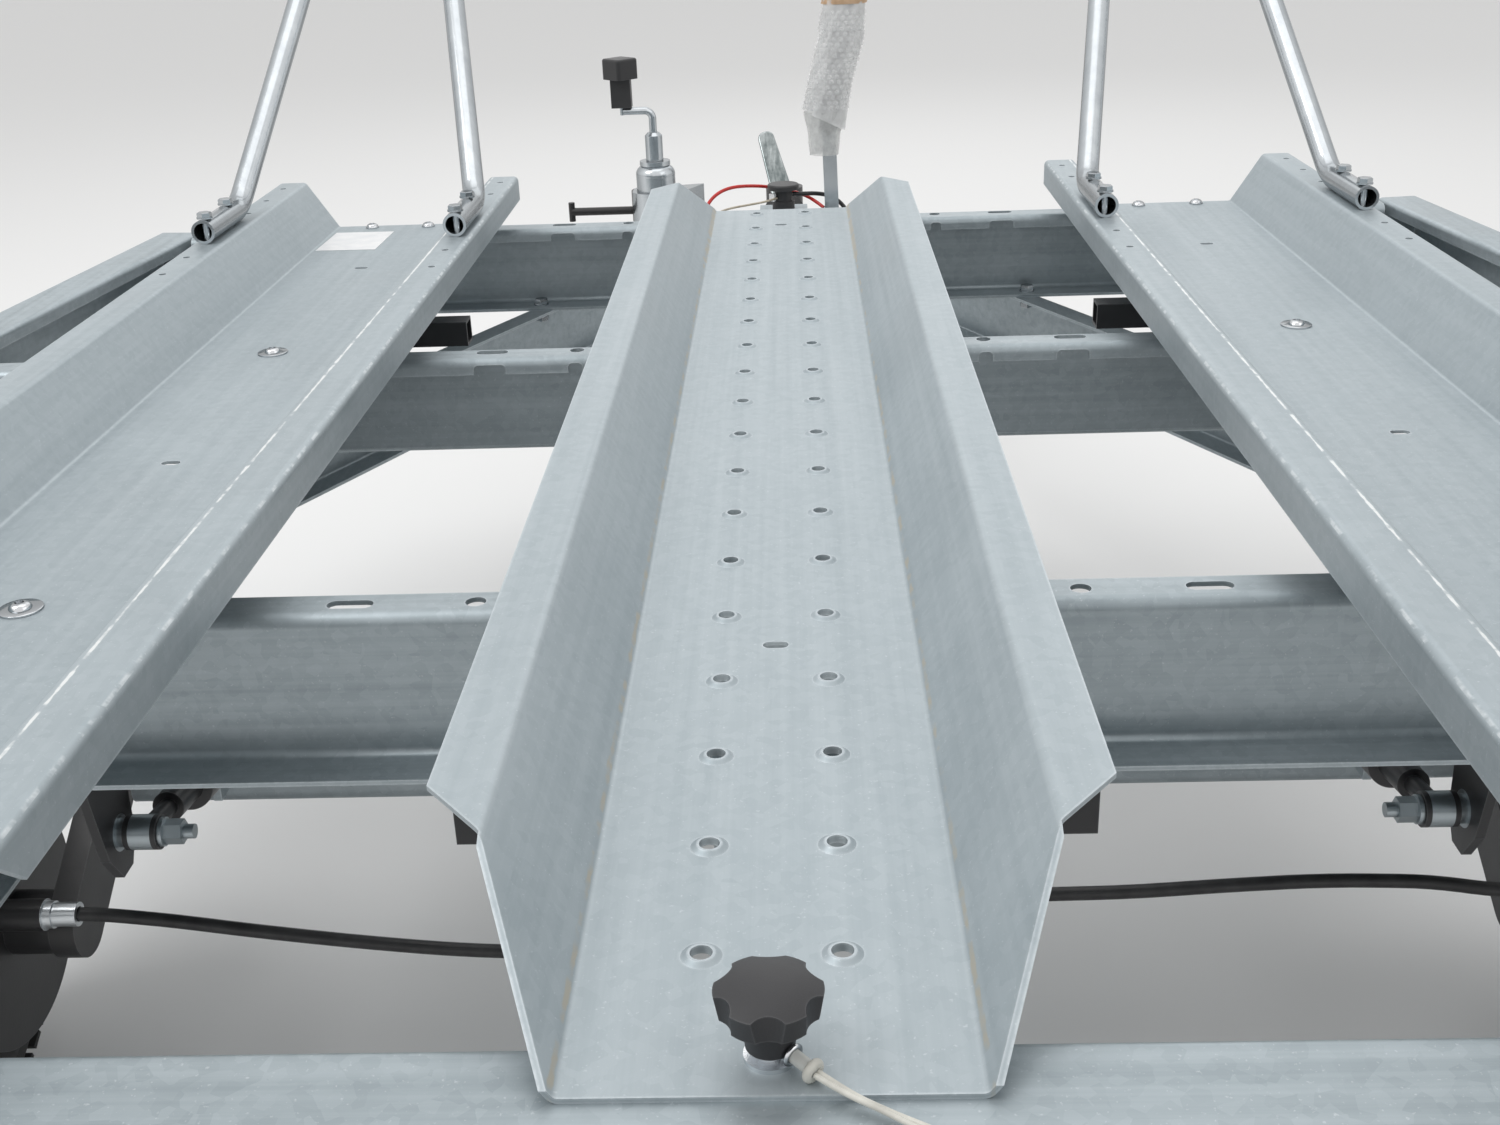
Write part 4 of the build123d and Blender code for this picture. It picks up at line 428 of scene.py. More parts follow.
def zinc_material(
    name, pale, dark, stretch, clouds, smooth, dull, metallic, edge,
    lines=0.00025, spangle=0.1, painted_side_reflection=0.0, scuffs=(),
):
    """Galvanised or plated steel."""
    material, tree, shader = started(name)
    coat = tree.shared(
        "zinc", Pale=opaque(pale), Dark=opaque(dark), Stretch=stretch, Clouds=clouds, Smooth=smooth,
        Dull=dull, Spangle=spangle)
    worn = tree.shared("edge", Radius=0.0025, Amount=edge)
    # Paler edges on zinc: partly wear, partly a painted highlight along the folds of the sheet.
    colour = tree.blend(worn["Mask"], coat["Color"], (0.70, 0.745, 0.77, 1))
    for place, width, breaks, cover, above, ahead, tint in scuffs:
        line = tree.shared(
            "band", Place=place * MM, Width=width * MM, Breaks=breaks, Cover=cover,
            Above=at(0, 0, above).z, Ahead=at(0, ahead, 0).y)
        colour = tree.blend(line["Mask"], colour, opaque(tint))
    # Painted reflection: where a round piece turns away from the eye, its colour is darkened towards
    # near-black blue-grey, as mirror-like metal looks against a dark surround.
    if painted_side_reflection:
        facing = tree.node("ShaderNodeLayerWeight", {"Blend": 0.5}).outputs["Facing"]
        colour = tree.blend(tree.ramp(facing, 0.2, 0.75, 0.0, painted_side_reflection), colour, (0.06, 0.08, 0.09, 1))
    shader.inputs["Metallic"].default_value = metallic
    feed(tree, shader, Base_Color=colour, Roughness=coat["Roughness"])
    bumped(tree, shader, coat["Height"], lines)
    return material


def dark_material(name, low, high, rough_low, rough_high, grain, depth, edge, edge_tint=(0.12, 0.12, 0.125)):
    """Black paint, moulding or rubber, with grain and paler worn edges."""
    material, tree, shader = started(name)
    skin = tree.shared("grain", Scale=grain)
    worn = tree.shared("edge", Radius=0.0015, Amount=edge)
    colour = tree.blend(skin["Tone"], opaque(low), opaque(high))
    colour = tree.blend(worn["Mask"], colour, opaque(edge_tint))
    rough = tree.ramp(skin["Tone"], 0.0, 1.0, rough_low, rough_high)
    feed(tree, shader, Base_Color=colour, Roughness=rough)
    bumped(tree, shader, skin["Height"], depth)
    return material, tree, shader, colour


def film_material(name, tint, alpha, rough, creases):
    """Thin packing film with creases."""
    material, tree, shader = started(name)
    place = tree.place()
    folds = tree.noise(place, creases, 5.0, 0.65)
    milk = tree.ramp(folds, 0.35, 0.7)
    colour = tree.blend(milk, opaque([c * 0.92 for c in tint]), opaque(tint))
    clear = tree.ramp(milk, 0.0, 1.0, alpha - 0.08, min(1.0, alpha + 0.08))
    shader.inputs["IOR"].default_value = 1.4
    shader.inputs["Coat Weight"].default_value = 0.3
    dull = tree.ramp(folds, 0.3, 0.7, rough, rough + 0.2)
    feed(tree, shader, Base_Color=colour, Alpha=clear, Roughness=dull)
    bumped(tree, shader, folds, 0.001, 0.35)
    return material


def cord_material(name, low, high, rough):
    """Covered cord, with a little dirt."""
    material, tree, shader = started(name)
    place = tree.place()
    colour = tree.blend(tree.ramp(tree.noise(place, 55.0), 0.35, 0.65), opaque(low), opaque(high))
    dull = tree.ramp(tree.noise(place, 90.0), 0.3, 0.7, rough, rough + 0.15)
    feed(tree, shader, Base_Color=colour, Roughness=dull)
    bumped(tree, shader, tree.noise(place, 700.0, 2.0), 0.0002)
    return material


def lamp_material():
    """Red and amber lens fields on a black base, told apart by their place on the lamp."""
    material, tree, shader = started("Rear lamp")
    place = tree.node("ShaderNodeSeparateXYZ", {0: tree.place()})
    outward = tree.maths("ABSOLUTE", place.outputs[0])
    amber = tree.maths("GREATER_THAN", outward, LAMP_AMBER_X * MM)
    colour = tree.blend(amber, (0.50, 0.016, 0.012, 1), (0.78, 0.22, 0.015, 1))
    wave = tree.node("ShaderNodeTexWave", {"Vector": tree.place(), "Scale": 60.0}, bands_direction="Z")
    ribs = wave.outputs[1]
    colour = tree.blend(tree.maths("MULTIPLY", ribs, 0.35), colour, (0.16, 0.01, 0.008, 1))
    base = tree.maths("GREATER_THAN", place.outputs[1], (LAMP_BASE_Y + SHIFT_Y) * MM)
    colour = tree.blend(base, colour, (0.022, 0.022, 0.024, 1))
    shader.inputs["Coat Weight"].default_value = 0.5
    feed(tree, shader, Base_Color=colour, Roughness=tree.ramp(base, 0.0, 1.0, 0.12, 0.5))
    bumped(tree, shader, ribs, 0.0004)
    return material


def radial(tree, centre):
    """Distance from an upright line or an axle, where centre leaves out one coordinate."""
    keep = [0.0 if c is None else 1.0 for c in centre]
    middle = [0.0 if c is None else c for c in centre]
    flat = tree.node("ShaderNodeVectorMath", {0: tree.place(), 1: keep}, operation="MULTIPLY").outputs[0]
    return tree.node("ShaderNodeVectorMath", {0: flat, 1: middle}, operation="DISTANCE").outputs["Value"]


def knob_material():
    """Black knob on its bright bush and washer, with the clear crimp of the lanyard."""
    material, tree, shader, black = dark_material(
        "Knob", (0.018, 0.018, 0.02), (0.03, 0.03, 0.033), 0.42, 0.58, 1500.0, 0.0003, 0.5,
        (0.10, 0.10, 0.105))
    height = tree.node("ShaderNodeSeparateXYZ", {0: tree.place()}).outputs[2]
    low = tree.maths("LESS_THAN", height, (DECK_HEIGHT + KNOB_METAL_TOP) * MM)
    knob = at(0, KNOB_Y, 0)
    outer = tree.maths("GREATER_THAN", radial(tree, (knob.x, knob.y, None)), CRIMP_INNER_RADIUS * MM)
    below = tree.maths("LESS_THAN", height, (DECK_HEIGHT + CRIMP_TOP) * MM)
    crimp = tree.maths("MULTIPLY", outer, below)
    metal = tree.maths("MULTIPLY", low, tree.maths("SUBTRACT", 1.0, crimp))
    colour = tree.blend(metal, black, (0.70, 0.72, 0.74, 1))
    colour = tree.blend(crimp, colour, (0.60, 0.61, 0.58, 1))
    feed(tree, shader, Base_Color=colour, Metallic=metal, Roughness=tree.ramp(metal, 0.0, 1.0, 0.5, 0.24))
    return material


def jockey_wheel_material():
    """Grey rubber tread round a galvanised web."""
    material, tree, shader, black = dark_material(
        "Jockey wheel", (0.03, 0.03, 0.031), (0.05, 0.05, 0.05), 0.6, 0.8, 500.0, 0.0005, 0.4)
    away = radial(tree, (None, at(0, JOCKEY_WHEEL_Y, 0).y, at(0, 0, JOCKEY_WHEEL_Z).z))
    web = tree.maths("LESS_THAN", away, JOCKEY_WEB_RADIUS * MM)
    colour = tree.blend(web, black, (0.50, 0.52, 0.53, 1))
    feed(tree, shader, Base_Color=colour, Metallic=tree.maths("MULTIPLY", web, 0.7))
    return material


def two_tone(name, base, mask_of, tint, metallic, rough):
    """A finish with another one where a mask is on."""
    material = base.copy()
    material.name = name
    tree = Tree(material.node_tree)
    shader = next(n for n in material.node_tree.nodes if n.type == "BSDF_PRINCIPLED")
    mask = mask_of(tree)
    coat = shader.inputs["Base Color"].links[0].from_socket
    worn = shader.inputs["Roughness"].links[0].from_socket
    plain = shader.inputs["Metallic"].default_value
    mixed = tree.node("ShaderNodeMix", {0: mask, 2: worn, 3: rough}).outputs[0]
    feed(tree, shader, Base_Color=tree.blend(mask, coat, opaque(tint)),
         Metallic=tree.ramp(mask, 0.0, 1.0, plain, metallic), Roughness=mixed)
    return material


def round_axle(y, z, reach, inside=-NO_LIMIT, rings=()):
    """Mask of what lies near a line across the trailer, up to a distance outward, but for some rings."""
    def mask_of(tree):
        near = tree.maths("LESS_THAN", radial(tree, (None, at(0, y, 0).y, at(0, 0, z).z)), reach * MM)
        outward = tree.maths("ABSOLUTE", tree.node("ShaderNodeSeparateXYZ", {0: tree.place()}).outputs[0])
        mask = tree.maths("MULTIPLY", near, tree.maths("LESS_THAN", outward, inside * MM))
        for middle, half in rings:
            away = tree.maths("ABSOLUTE", tree.maths("SUBTRACT", outward, middle * MM))
            mask = tree.maths("MULTIPLY", mask, tree.maths("GREATER_THAN", away, half * MM))
        return mask
    return mask_of


def left_of(x):
    """Mask of what lies to the left of a place."""
    def mask_of(tree):
        aside = tree.node("ShaderNodeSeparateXYZ", {0: tree.place()}).outputs[0]
        return tree.maths("LESS_THAN", aside, x * MM)
    return mask_of


LENGTHWISE = (90.0, 1.2, 90.0)
CROSSWISE = (1.2, 90.0, 90.0)
EVENLY = (30.0, 30.0, 30.0)
MATERIALS = {}


def build_materials():
    """Every finish of the trailer, by name."""
    size = finish()
    grey = (0.74, 0.76, 0.76)
    worn = (0.58, 0.62, 0.64)
    dust = (0.44, 0.42, 0.36)
    MATERIALS["rail"] = zinc_material(
        "Rail sheet", size.sheet_pale, size.sheet_dark, LENGTHWISE, 5.0, 0.40, 0.58, 0.45, 0.55,
        scuffs=[(SCUFF_X, 1.4, 45.0, 0.55, FLANGE_LOW, NO_LIMIT, grey),
                (SIDE_EDGE_X + 2, 2.0, 70.0, 0.2, FLANGE_LOW, NO_LIMIT, worn),
                (DUST_LINE_X, 1.3, 40.0, 0.3, NO_LIMIT, NO_LIMIT, dust),
                (DUST_LINE_X, 3.0, 30.0, 0.5, NO_LIMIT, DUST_FRONT_Y, dust)])
    frame_colours = (size.frame_pale, size.frame_dark)
    MATERIALS["cross"] = zinc_material("Cross steel", *frame_colours, CROSSWISE, 4.0, 0.34, 0.56, 0.6, 0.5)
    MATERIALS["long"] = zinc_material("Long steel", *frame_colours, LENGTHWISE, 4.0, 0.34, 0.56, 0.6, 0.5)
    MATERIALS["cast"] = zinc_material("Wheel zinc", *frame_colours, EVENLY, 9.0, 0.40, 0.60, 0.6, 0.45)
    # For the bright zinc, the polished steel and the polished handle, the last number is how strongly their
    # sides are darkened by that painted reflection.
    MATERIALS["zinc"] = zinc_material(
        "Bright zinc", (0.66, 0.69, 0.71), (0.53, 0.56, 0.585), (60.0, 60.0, 6.0), 9.0, 0.16, 0.26, 0.95, 0.2,
        0.00006, 0.0, 0.72)
    MATERIALS["chrome"] = zinc_material(
        "Polished steel", (0.74, 0.75, 0.76), (0.62, 0.63, 0.65), EVENLY, 20.0, 0.09, 0.18, 1.0, 0.2,
        0.00003, 0.0, 0.85)
    # Painted reflection: the handle's long streaks, from near-black green-grey to pale, stand in for the
    # surroundings mirrored in its polish.
    MATERIALS["handle"] = zinc_material(
        "Polished handle with painted streaks", (0.66, 0.70, 0.70), (0.17, 0.20, 0.20), (95.0, 30.0, 7.0), 26.0, 0.08, 0.2,
        1.0, 0.5, 0.00003, 0.0, 0.85)
    MATERIALS["paint"] = dark_material(
        "Black paint", (0.014, 0.014, 0.015), (0.026, 0.026, 0.028), 0.30, 0.48, 600.0, 0.0002, 0.6)[0]
    bright = ((0.60, 0.63, 0.65), 0.9, 0.28)
    dull = ((0.34, 0.38, 0.40), 0.9, 0.3)
    rings = [(x, DAMPER_RING_HALF) for x in DAMPER_RINGS_X]
    MATERIALS["swing_arm"] = two_tone(
        "Swing arm paint", MATERIALS["paint"],
        round_axle(FERRULE_Y, FERRULE_Z, FERRULE_RADIUS, FERRULE_END_X), *bright)
    MATERIALS["damper"] = two_tone(
        "Damper paint and zinc", MATERIALS["paint"],
        round_axle(DAMPER_Y, DAMPER_Z, DAMPER_EYE_REACH, rings=rings), *dull)
    MATERIALS["damper_bolt"] = two_tone(
        "Bracket paint and zinc", MATERIALS["paint"],
        round_axle(DAMPER_Y, DAMPER_Z, DAMPER_BOLT_REACH), *dull)
    # The jockey clamp's handle, left of CLAMP_HANDLE_X, is coloured near black.
    MATERIALS["clamp"] = two_tone(
        "Clamp zinc and paint", MATERIALS["zinc"], left_of(CLAMP_HANDLE_X), (0.018, 0.017, 0.017), 0.0, 0.4)
    MATERIALS["plastic"] = dark_material(
        "Black moulding", (0.018, 0.018, 0.019), (0.032, 0.032, 0.034), 0.42, 0.60, 1300.0, 0.0003, 0.4)[0]
    MATERIALS["rubber"] = dark_material(
        "Soft rubber", (0.014, 0.014, 0.015), (0.028, 0.028, 0.029), 0.48, 0.66, 800.0, 0.0003, 0.35)[0]
    MATERIALS["tyre"] = dark_material(
        "Tyre rubber", (0.016, 0.016, 0.017), (0.034, 0.033, 0.032), 0.66, 0.84, 420.0, 0.0006, 0.3,
        (0.07, 0.068, 0.064))[0]
    MATERIALS["cable"] = cord_material(
        "Brake cable sheath", (0.010, 0.010, 0.011), (0.024, 0.024, 0.025), 0.34)
    red = size.cord_red
    MATERIALS["red_cord"] = cord_material("Red cord cover", [c * 0.8 for c in red], red, 0.26)
    MATERIALS["beige_cord"] = cord_material("Beige cord", (0.42, 0.36, 0.27), (0.58, 0.52, 0.42), 0.45)
    MATERIALS["plug_cable"] = MATERIALS["cable"]
    MATERIALS["lanyard"] = cord_material("Clear cord", (0.52, 0.51, 0.46), (0.68, 0.67, 0.61), 0.22)
    MATERIALS["film"] = film_material("Clear film", (0.80, 0.81, 0.80), 0.44, 0.12, 55.0)
    MATERIALS["bubbles"] = film_material("Bubble film", (0.93, 0.935, 0.935), 0.48, 0.14, 30.0)
    MATERIALS["bubble"] = film_material("Bubbles", (0.95, 0.955, 0.955), 0.27, 0.06, 30.0)
    MATERIALS["sticker"] = cord_material("Blank sticker", (0.80, 0.81, 0.82), (0.88, 0.88, 0.88), 0.35)
    MATERIALS["tan"] = cord_material("Tan tape", (0.46, 0.30, 0.18), (0.58, 0.40, 0.26), 0.5)
    MATERIALS["lamp"] = lamp_material()
    MATERIALS["knob"] = knob_material()
    MATERIALS["jockey_wheel"] = jockey_wheel_material()


FINISHES = {
    "rail": "rail_centre rail_left rail_right",
    "cross": "crossmember_front crossmember_middle crossmember_rear rear_beam axle_tube",
    "long": "side_beam_left side_beam_right drawbar_arm_left drawbar_arm_right overrun_housing",
    "cast": "rim_left rim_right drum_left drum_right",
    "swing_arm": "swing_arm_left swing_arm_right",
    "zinc": "hoop_left hoop_right brake_rod jockey_tube jockey_leg jockey_crank handbrake_lever jockey_fork",
    "handle": "coupling_handle",
    "clamp": "jockey_clamp",
    "paint": "coupling_head lash_bars",
    "damper": "damper_left damper_right",
    "damper_bolt": "damper_brackets",
    "plastic": "plug jockey_grip mudguards",
    "rubber": "gaiter",
    "cable": "brake_cable_left brake_cable_right",
    "tyre": "tyre_left tyre_right",
    "lamp": "lamps",
    "knob": "star_knob",
    "jockey_wheel": "jockey_wheel",
}


# Meshes

def placed(name, data):
    """A new object in the scene."""
    made = bpy.data.objects.new(name, data)
    bpy.context.scene.collection.objects.link(made)
    return made


def piece(name, mesh, body, material=None):
    """Put a finished mesh in the scene as a piece that rides on a body."""
    made = placed(name, mesh)
    if material is not None:
        mesh.materials.clear()
        mesh.materials.append(material)
    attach(made, body)
    return made


def smooth(mesh, angle=35.0):
    """Smooth shading, with creases sharper than the angle kept."""
    mesh.polygons.foreach_set("use_smooth", [True] * len(mesh.polygons))
    mesh.set_sharp_from_angle(angle=radians(angle))


def meshed(name, shape):
    """The mesh of a shape that is done."""
    mesh = bpy.data.meshes.new(name)
    shape.to_mesh(mesh)
    shape.free()
    return mesh


def skinned(name, rings, loop=False):
    """Closed mesh over rings of places. A ring of one place is a pole, and loop joins last to first."""
    shape = bmesh.new()
    rows = [[shape.verts.new(p) for p in ring] for ring in rings]
    pairs = list(zip(rows, rows[1:]))
    if loop:
        pairs.append((rows[-1], rows[0]))
    for first, second in pairs:
        count = max(len(first), len(second))
        for i in range(count):
            j = (i + 1) % count
            corners = [row[k % len(row)] for row, k in ((first, i), (first, j), (second, j), (second, i))]
            corners = list(dict.fromkeys(corners))
            if len(corners) > 2:
                shape.faces.new(corners)
    if not loop:
        for row in (rows[0], rows[-1]):
            if len(row) > 2:
                shape.faces.new(row)
    bmesh.ops.recalc_face_normals(shape, faces=shape.faces)
    return meshed(name, shape)


def turned(name, profile, place, axis, segments, loop=False):
    """Mesh turned from pairs of distance along the axis and radius, in metres."""
    axis = Vector(axis).normalized()
    side = axis.orthogonal().normalized()
    across = axis.cross(side)
    rings = []
    for along, radius in profile:
        centre = Vector(place) + axis * along
        if radius <= 0:
            rings.append([centre])
            continue
        turns = [2 * pi * i / segments for i in range(segments)]
        rings.append([centre + (side * cos(a) + across * sin(a)) * radius for a in turns])
    return skinned(name, rings, loop)


def geometry_group(name, **inputs):
    """A geometry node group with its sockets, the last of which is the finish."""
    tree = bpy.data.node_groups.new(name, "GeometryNodeTree")
    for label, kind in {"Geometry": "Geometry", **inputs, "Finish": "Material"}.items():
        tree.interface.new_socket(name=label, in_out="INPUT", socket_type="NodeSocket" + kind)
    tree.interface.new_socket(name="Geometry", in_out="OUTPUT", socket_type="NodeSocketGeometry")
    return Tree(tree)


def coated(nodes, geometry, coat):
    """End a geometry node group with a finish on its geometry."""
    made = nodes.node("GeometryNodeSetMaterial", {"Geometry": geometry, "Material": coat})
    nodes.node("NodeGroupOutput", {0: made.outputs[0]})
    return nodes.tree


def repeat_tree():
    """Geometry nodes that set one shape on every place, turned to its facing."""
    nodes = geometry_group("Repeat on places", Shape="Object", Size="Float")
    given = nodes.node("NodeGroupInput").outputs
    facing = nodes.node("GeometryNodeInputNamedAttribute", {"Name": "facing"}, data_type="FLOAT_VECTOR")
    turn = nodes.node("FunctionNodeAlignRotationToVector", {"Vector": facing.outputs["Attribute"]}, axis="Z")
    shape = nodes.node("GeometryNodeObjectInfo", {"Object": given["Shape"]})
    copies = nodes.node("GeometryNodeInstanceOnPoints", {
        "Points": given["Geometry"], "Instance": shape.outputs["Geometry"],
        "Rotation": turn.outputs["Rotation"], "Scale": given["Size"]})
    real = nodes.node("GeometryNodeRealizeInstances", {0: copies.outputs[0]})
    return coated(nodes, real.outputs[0], given["Finish"])


def tread_tree():
    """Geometry nodes that stand blocks round a wheel."""
    nodes = geometry_group("Tread blocks", Blocks="Int", Radius="Float", Block="Vector", Centre="Vector")
    given = nodes.node("NodeGroupInput").outputs
    ring = nodes.node("GeometryNodeMeshCircle", {
        "Vertices": given["Blocks"], "Radius": given["Radius"]})
    where = nodes.node("GeometryNodeInputPosition")
    turn = nodes.node("FunctionNodeAlignRotationToVector", {"Vector": where.outputs[0]}, axis="X")
    block = nodes.node("GeometryNodeMeshCube", {"Size": given["Block"]})
    copies = nodes.node("GeometryNodeInstanceOnPoints", {
        "Points": ring.outputs[0], "Instance": block.outputs[0], "Rotation": turn.outputs["Rotation"]})
    real = nodes.node("GeometryNodeRealizeInstances", {0: copies.outputs[0]})
    moved = nodes.node("GeometryNodeTransform", {
        "Geometry": real.outputs[0], "Translation": given["Centre"], "Rotation": (0, pi / 2, 0)})
    return coated(nodes, moved.outputs[0], given["Finish"])


TREES = {}


def grown(name, start, tree_name, values):
    """Plain mesh of a start mesh under one of the geometry trees, with its inputs set by name."""
    makers = {"repeat": repeat_tree, "tread": tread_tree}
    if tree_name not in TREES:
        TREES[tree_name] = makers[tree_name]()
    tree = TREES[tree_name]
    carrier = placed(name + "_start", start)
    modifier = carrier.modifiers.new("Grow", "NODES")
    modifier.node_group = tree
    for item in tree.interface.items_tree:
        if item.in_out == "INPUT" and item.name in values:
            modifier[item.identifier] = values[item.name]
    graph = bpy.context.evaluated_depsgraph_get()
    mesh = bpy.data.meshes.new_from_object(carrier.evaluated_get(graph))
    mesh.name = name
    bpy.data.objects.remove(carrier)
    return mesh


def repeated(name, places, shape_mesh, material, size=1.0):
    """One mesh of copies of a shape on places, each given as a place and a facing."""
    start = bpy.data.meshes.new(name + "_places")
    start.from_pydata([p for p, _ in places], [], [])
    facing = start.attributes.new("facing", "FLOAT_VECTOR", "POINT")
    facing.data.foreach_set("vector", [c for _, f in places for c in f])
    sample = placed(name + "_sample", shape_mesh)
    mesh = grown(name, start, "repeat", {"Shape": sample, "Size": size, "Finish": material})
    bpy.data.objects.remove(sample)
    smooth(mesh)
    return mesh


UP = (0.0, 0.0, 1.0)
ORIGIN = (0.0, 0.0, 0.0)
STRAND_SIDES = 12


def twin_strands(route, width):
    """Two strands side by side along a route, as wide together as the cord."""
    shape = bmesh.new()
    radius = width * 0.30
    for side in (-1, 1):
        rows = []
        for i, spot in enumerate(route):
            way = (route[min(i + 1, len(route) - 1)] - route[max(i - 1, 0)]).normalized()
            across = way.cross(Vector(UP)).normalized()
            lift = across.cross(way)
            twist = 0.5 * sin(i * 0.11)
            offset = (across * cos(twist) + lift * sin(twist)) * side * radius * 0.86
            turns = [2 * pi * k / STRAND_SIDES for k in range(STRAND_SIDES)]
            middle = spot + offset
            rows.append([shape.verts.new(middle + (across * cos(a) + lift * sin(a)) * radius) for a in turns])
        for first, second in zip(rows, rows[1:]):
            for k in range(STRAND_SIDES):
                n = (k + 1) % STRAND_SIDES
                shape.faces.new((first[k], first[n], second[n], second[k]))
        shape.faces.new(rows[0])
        shape.faces.new(rows[-1])
    bmesh.ops.recalc_face_normals(shape, faces=shape.faces)
    mesh = meshed("twin_strands", shape)
    smooth(mesh, 60.0)
    return mesh


def button_screw(head, washer):
    """Button-head screw on its washer, with its shank and nut below the sheet."""
    half, ring = head / 2, washer / 2
    under = -0.0072
    profile = [
        (0.0034, 0), (0.0034, half * 0.36), (0.0062, half * 0.40), (0.0061, half * 0.52),
        (0.0052, half * 0.76), (0.0036, half * 0.93), (0.0018, half), (0.0018, ring * 0.96),
        (0.0014, ring), (0.0002, ring),
        (0.0002, 0.005), (under, 0.005), (under, 0.0092), (under - 0.008, 0.0092), (under - 0.008, 0.005),
        (under - 0.014, 0.005), (under - 0.0145, 0),
    ]
    return turned("button_screw", profile, ORIGIN, UP, 28)


def in_order(mesh):
    """The mesh with its places and faces sorted, because a bevel leaves them in another order each run."""
    spots = sorted(range(len(mesh.vertices)), key=lambda i: [round(c, 7) for c in mesh.vertices[i].co])
    rank = {old: new for new, old in enumerate(spots)}
    places = [mesh.vertices[i].co.copy() for i in spots]
    faces = []
    for polygon in mesh.polygons:
        ring = [rank[i] for i in polygon.vertices]
        first = ring.index(min(ring))
        faces.append(ring[first:] + ring[:first])
    mesh.clear_geometry()
    mesh.from_pydata(places, [], sorted(faces))
    return mesh


def hex_bolt(flats, height, reach):
    """Hexagon bolt on its washer, with a nut at the end of its shank."""
    corner = flats / 3 ** 0.5
    shape = bmesh.new()
    for low, high, count, radius in (
        (0.0, 0.0018, 24, flats * 0.62), (0.0018, 0.0018 + height, 6, corner),
        (-reach, 0.001, 20, flats * 0.29), (-reach + 0.002, -reach + 0.002 + height, 6, corner),
    ):
        made = bmesh.ops.create_cone(
            shape, cap_ends=True, segments=count, radius1=radius, radius2=radius, depth=high - low,
            matrix=Matrix.Translation((0, 0, (low + high) / 2)))
        if count == 6:
            rim = {edge for vert in made["verts"] for edge in vert.link_edges if abs(vert.co.z - high) < 1e-6}
            level = [e for e in rim if abs(e.verts[0].co.z - e.verts[1].co.z) < 1e-6]
            bmesh.ops.bevel(shape, geom=level, offset=height * 0.14, segments=2, affect="EDGES")
    return in_order(meshed("hex_bolt", shape))


def oval(x0, x1, depth, y, z, segments, crease=0.0, phase=0.0):
    """Ring of places round an oval, in millimetres, with folds of the given height."""
    ring = []
    for i in range(segments):
        a = 2 * pi * i / segments
        swell = 1 + crease * (sin(5 * a + phase) * 0.6 + sin(11 * a - 1.7 * phase) * 0.4)
        ring.append(at((x0 + x1) / 2 + (x1 - x0) / 2 * swell * cos(a), y + depth / 2 * swell * sin(a), z))
    return ring


def between(sections, z):
    """Left edge, right edge and depth of a table of sections at one height."""
    for low, high in zip(sections, sections[1:]):
        if z <= high[0] or high is sections[-1]:
            share = (z - low[0]) / (high[0] - low[0])
            return [a + (b - a) * share for a, b in zip(low[1:], high[1:])]
    return sections[-1][1:]


def on_bubble_film(a, z, inside=0.0):
    """Place on the folded bubble film at a turn and a height, with its half width and half depth."""
    x0, x1, depth = between(BUBBLE_SECTIONS, max(BUBBLE_SECTIONS[0][0], z))
    swell = 1 + 0.045 * sin(4 * a + z / 23) + 0.03 * sin(9 * a - z / 11)
    wide, deep = ((x1 - x0) / 2 - inside) * swell, (depth / 2 - inside) * swell
    return at((x0 + x1) / 2 + wide * cos(a), FILM_Y + deep * sin(a), z), wide, deep


def sleeve(name, ring, steps):
    """Sleeve with an outer and an inner wall, from a function that gives each one's rings."""
    outer, inner = ([ring(step, inside) for step in range(steps + 1)] for inside in (0, 1))
    mesh = skinned(name, outer + inner[::-1], loop=True)
    smooth(mesh, 60.0)
    return mesh


# Operators, one for each piece or group of like pieces

class TRAILER_OT_camera(bpy.types.Operator):
    """Camera at the photograph's viewpoint"""
    bl_idname = "trailer.camera"
    bl_label = "Camera"

    def execute(self, context):
        pitch, yaw, roll = (radians(a) for a in (CAMERA_PITCH, CAMERA_YAW, CAMERA_ROLL))
        ahead = Vector((-sin(yaw), cos(yaw), 0))
        right = Vector((cos(yaw), sin(yaw), 0))
        forward = ahead * cos(pitch) - Vector(UP) * sin(pitch)
        upward = ahead * sin(pitch) + Vector(UP) * cos(pitch)
        x_axis = right * cos(roll) + upward * sin(roll)
        y_axis = upward * cos(roll) - right * sin(roll)
        data = bpy.data.cameras.new("View")
        data.lens = CAMERA_LENS
        data.sensor_width = SENSOR_WIDTH
        data.clip_end = 200.0
        camera = placed("View", data)
        turn = Matrix((x_axis, y_axis, -forward)).transposed().to_4x4()
        camera.matrix_world = Matrix.Translation(CAMERA_PLACE) @ turn
        context.scene.camera = camera
        context.scene.view_settings.view_transform = "Standard"
        return {"FINISHED"}


class TRAILER_OT_materials(bpy.types.Operator):
    """Finishes of the trailer, set on its solids"""
    bl_idname = "trailer.materials"
    bl_label = "Finishes"

    def execute(self, context):
        build_materials()
        for finish_name, nodes in FINISHES.items():
            for node in nodes.split():
                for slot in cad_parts[node].material_slots:
                    slot.material = MATERIALS[finish_name]
        return {"FINISHED"}


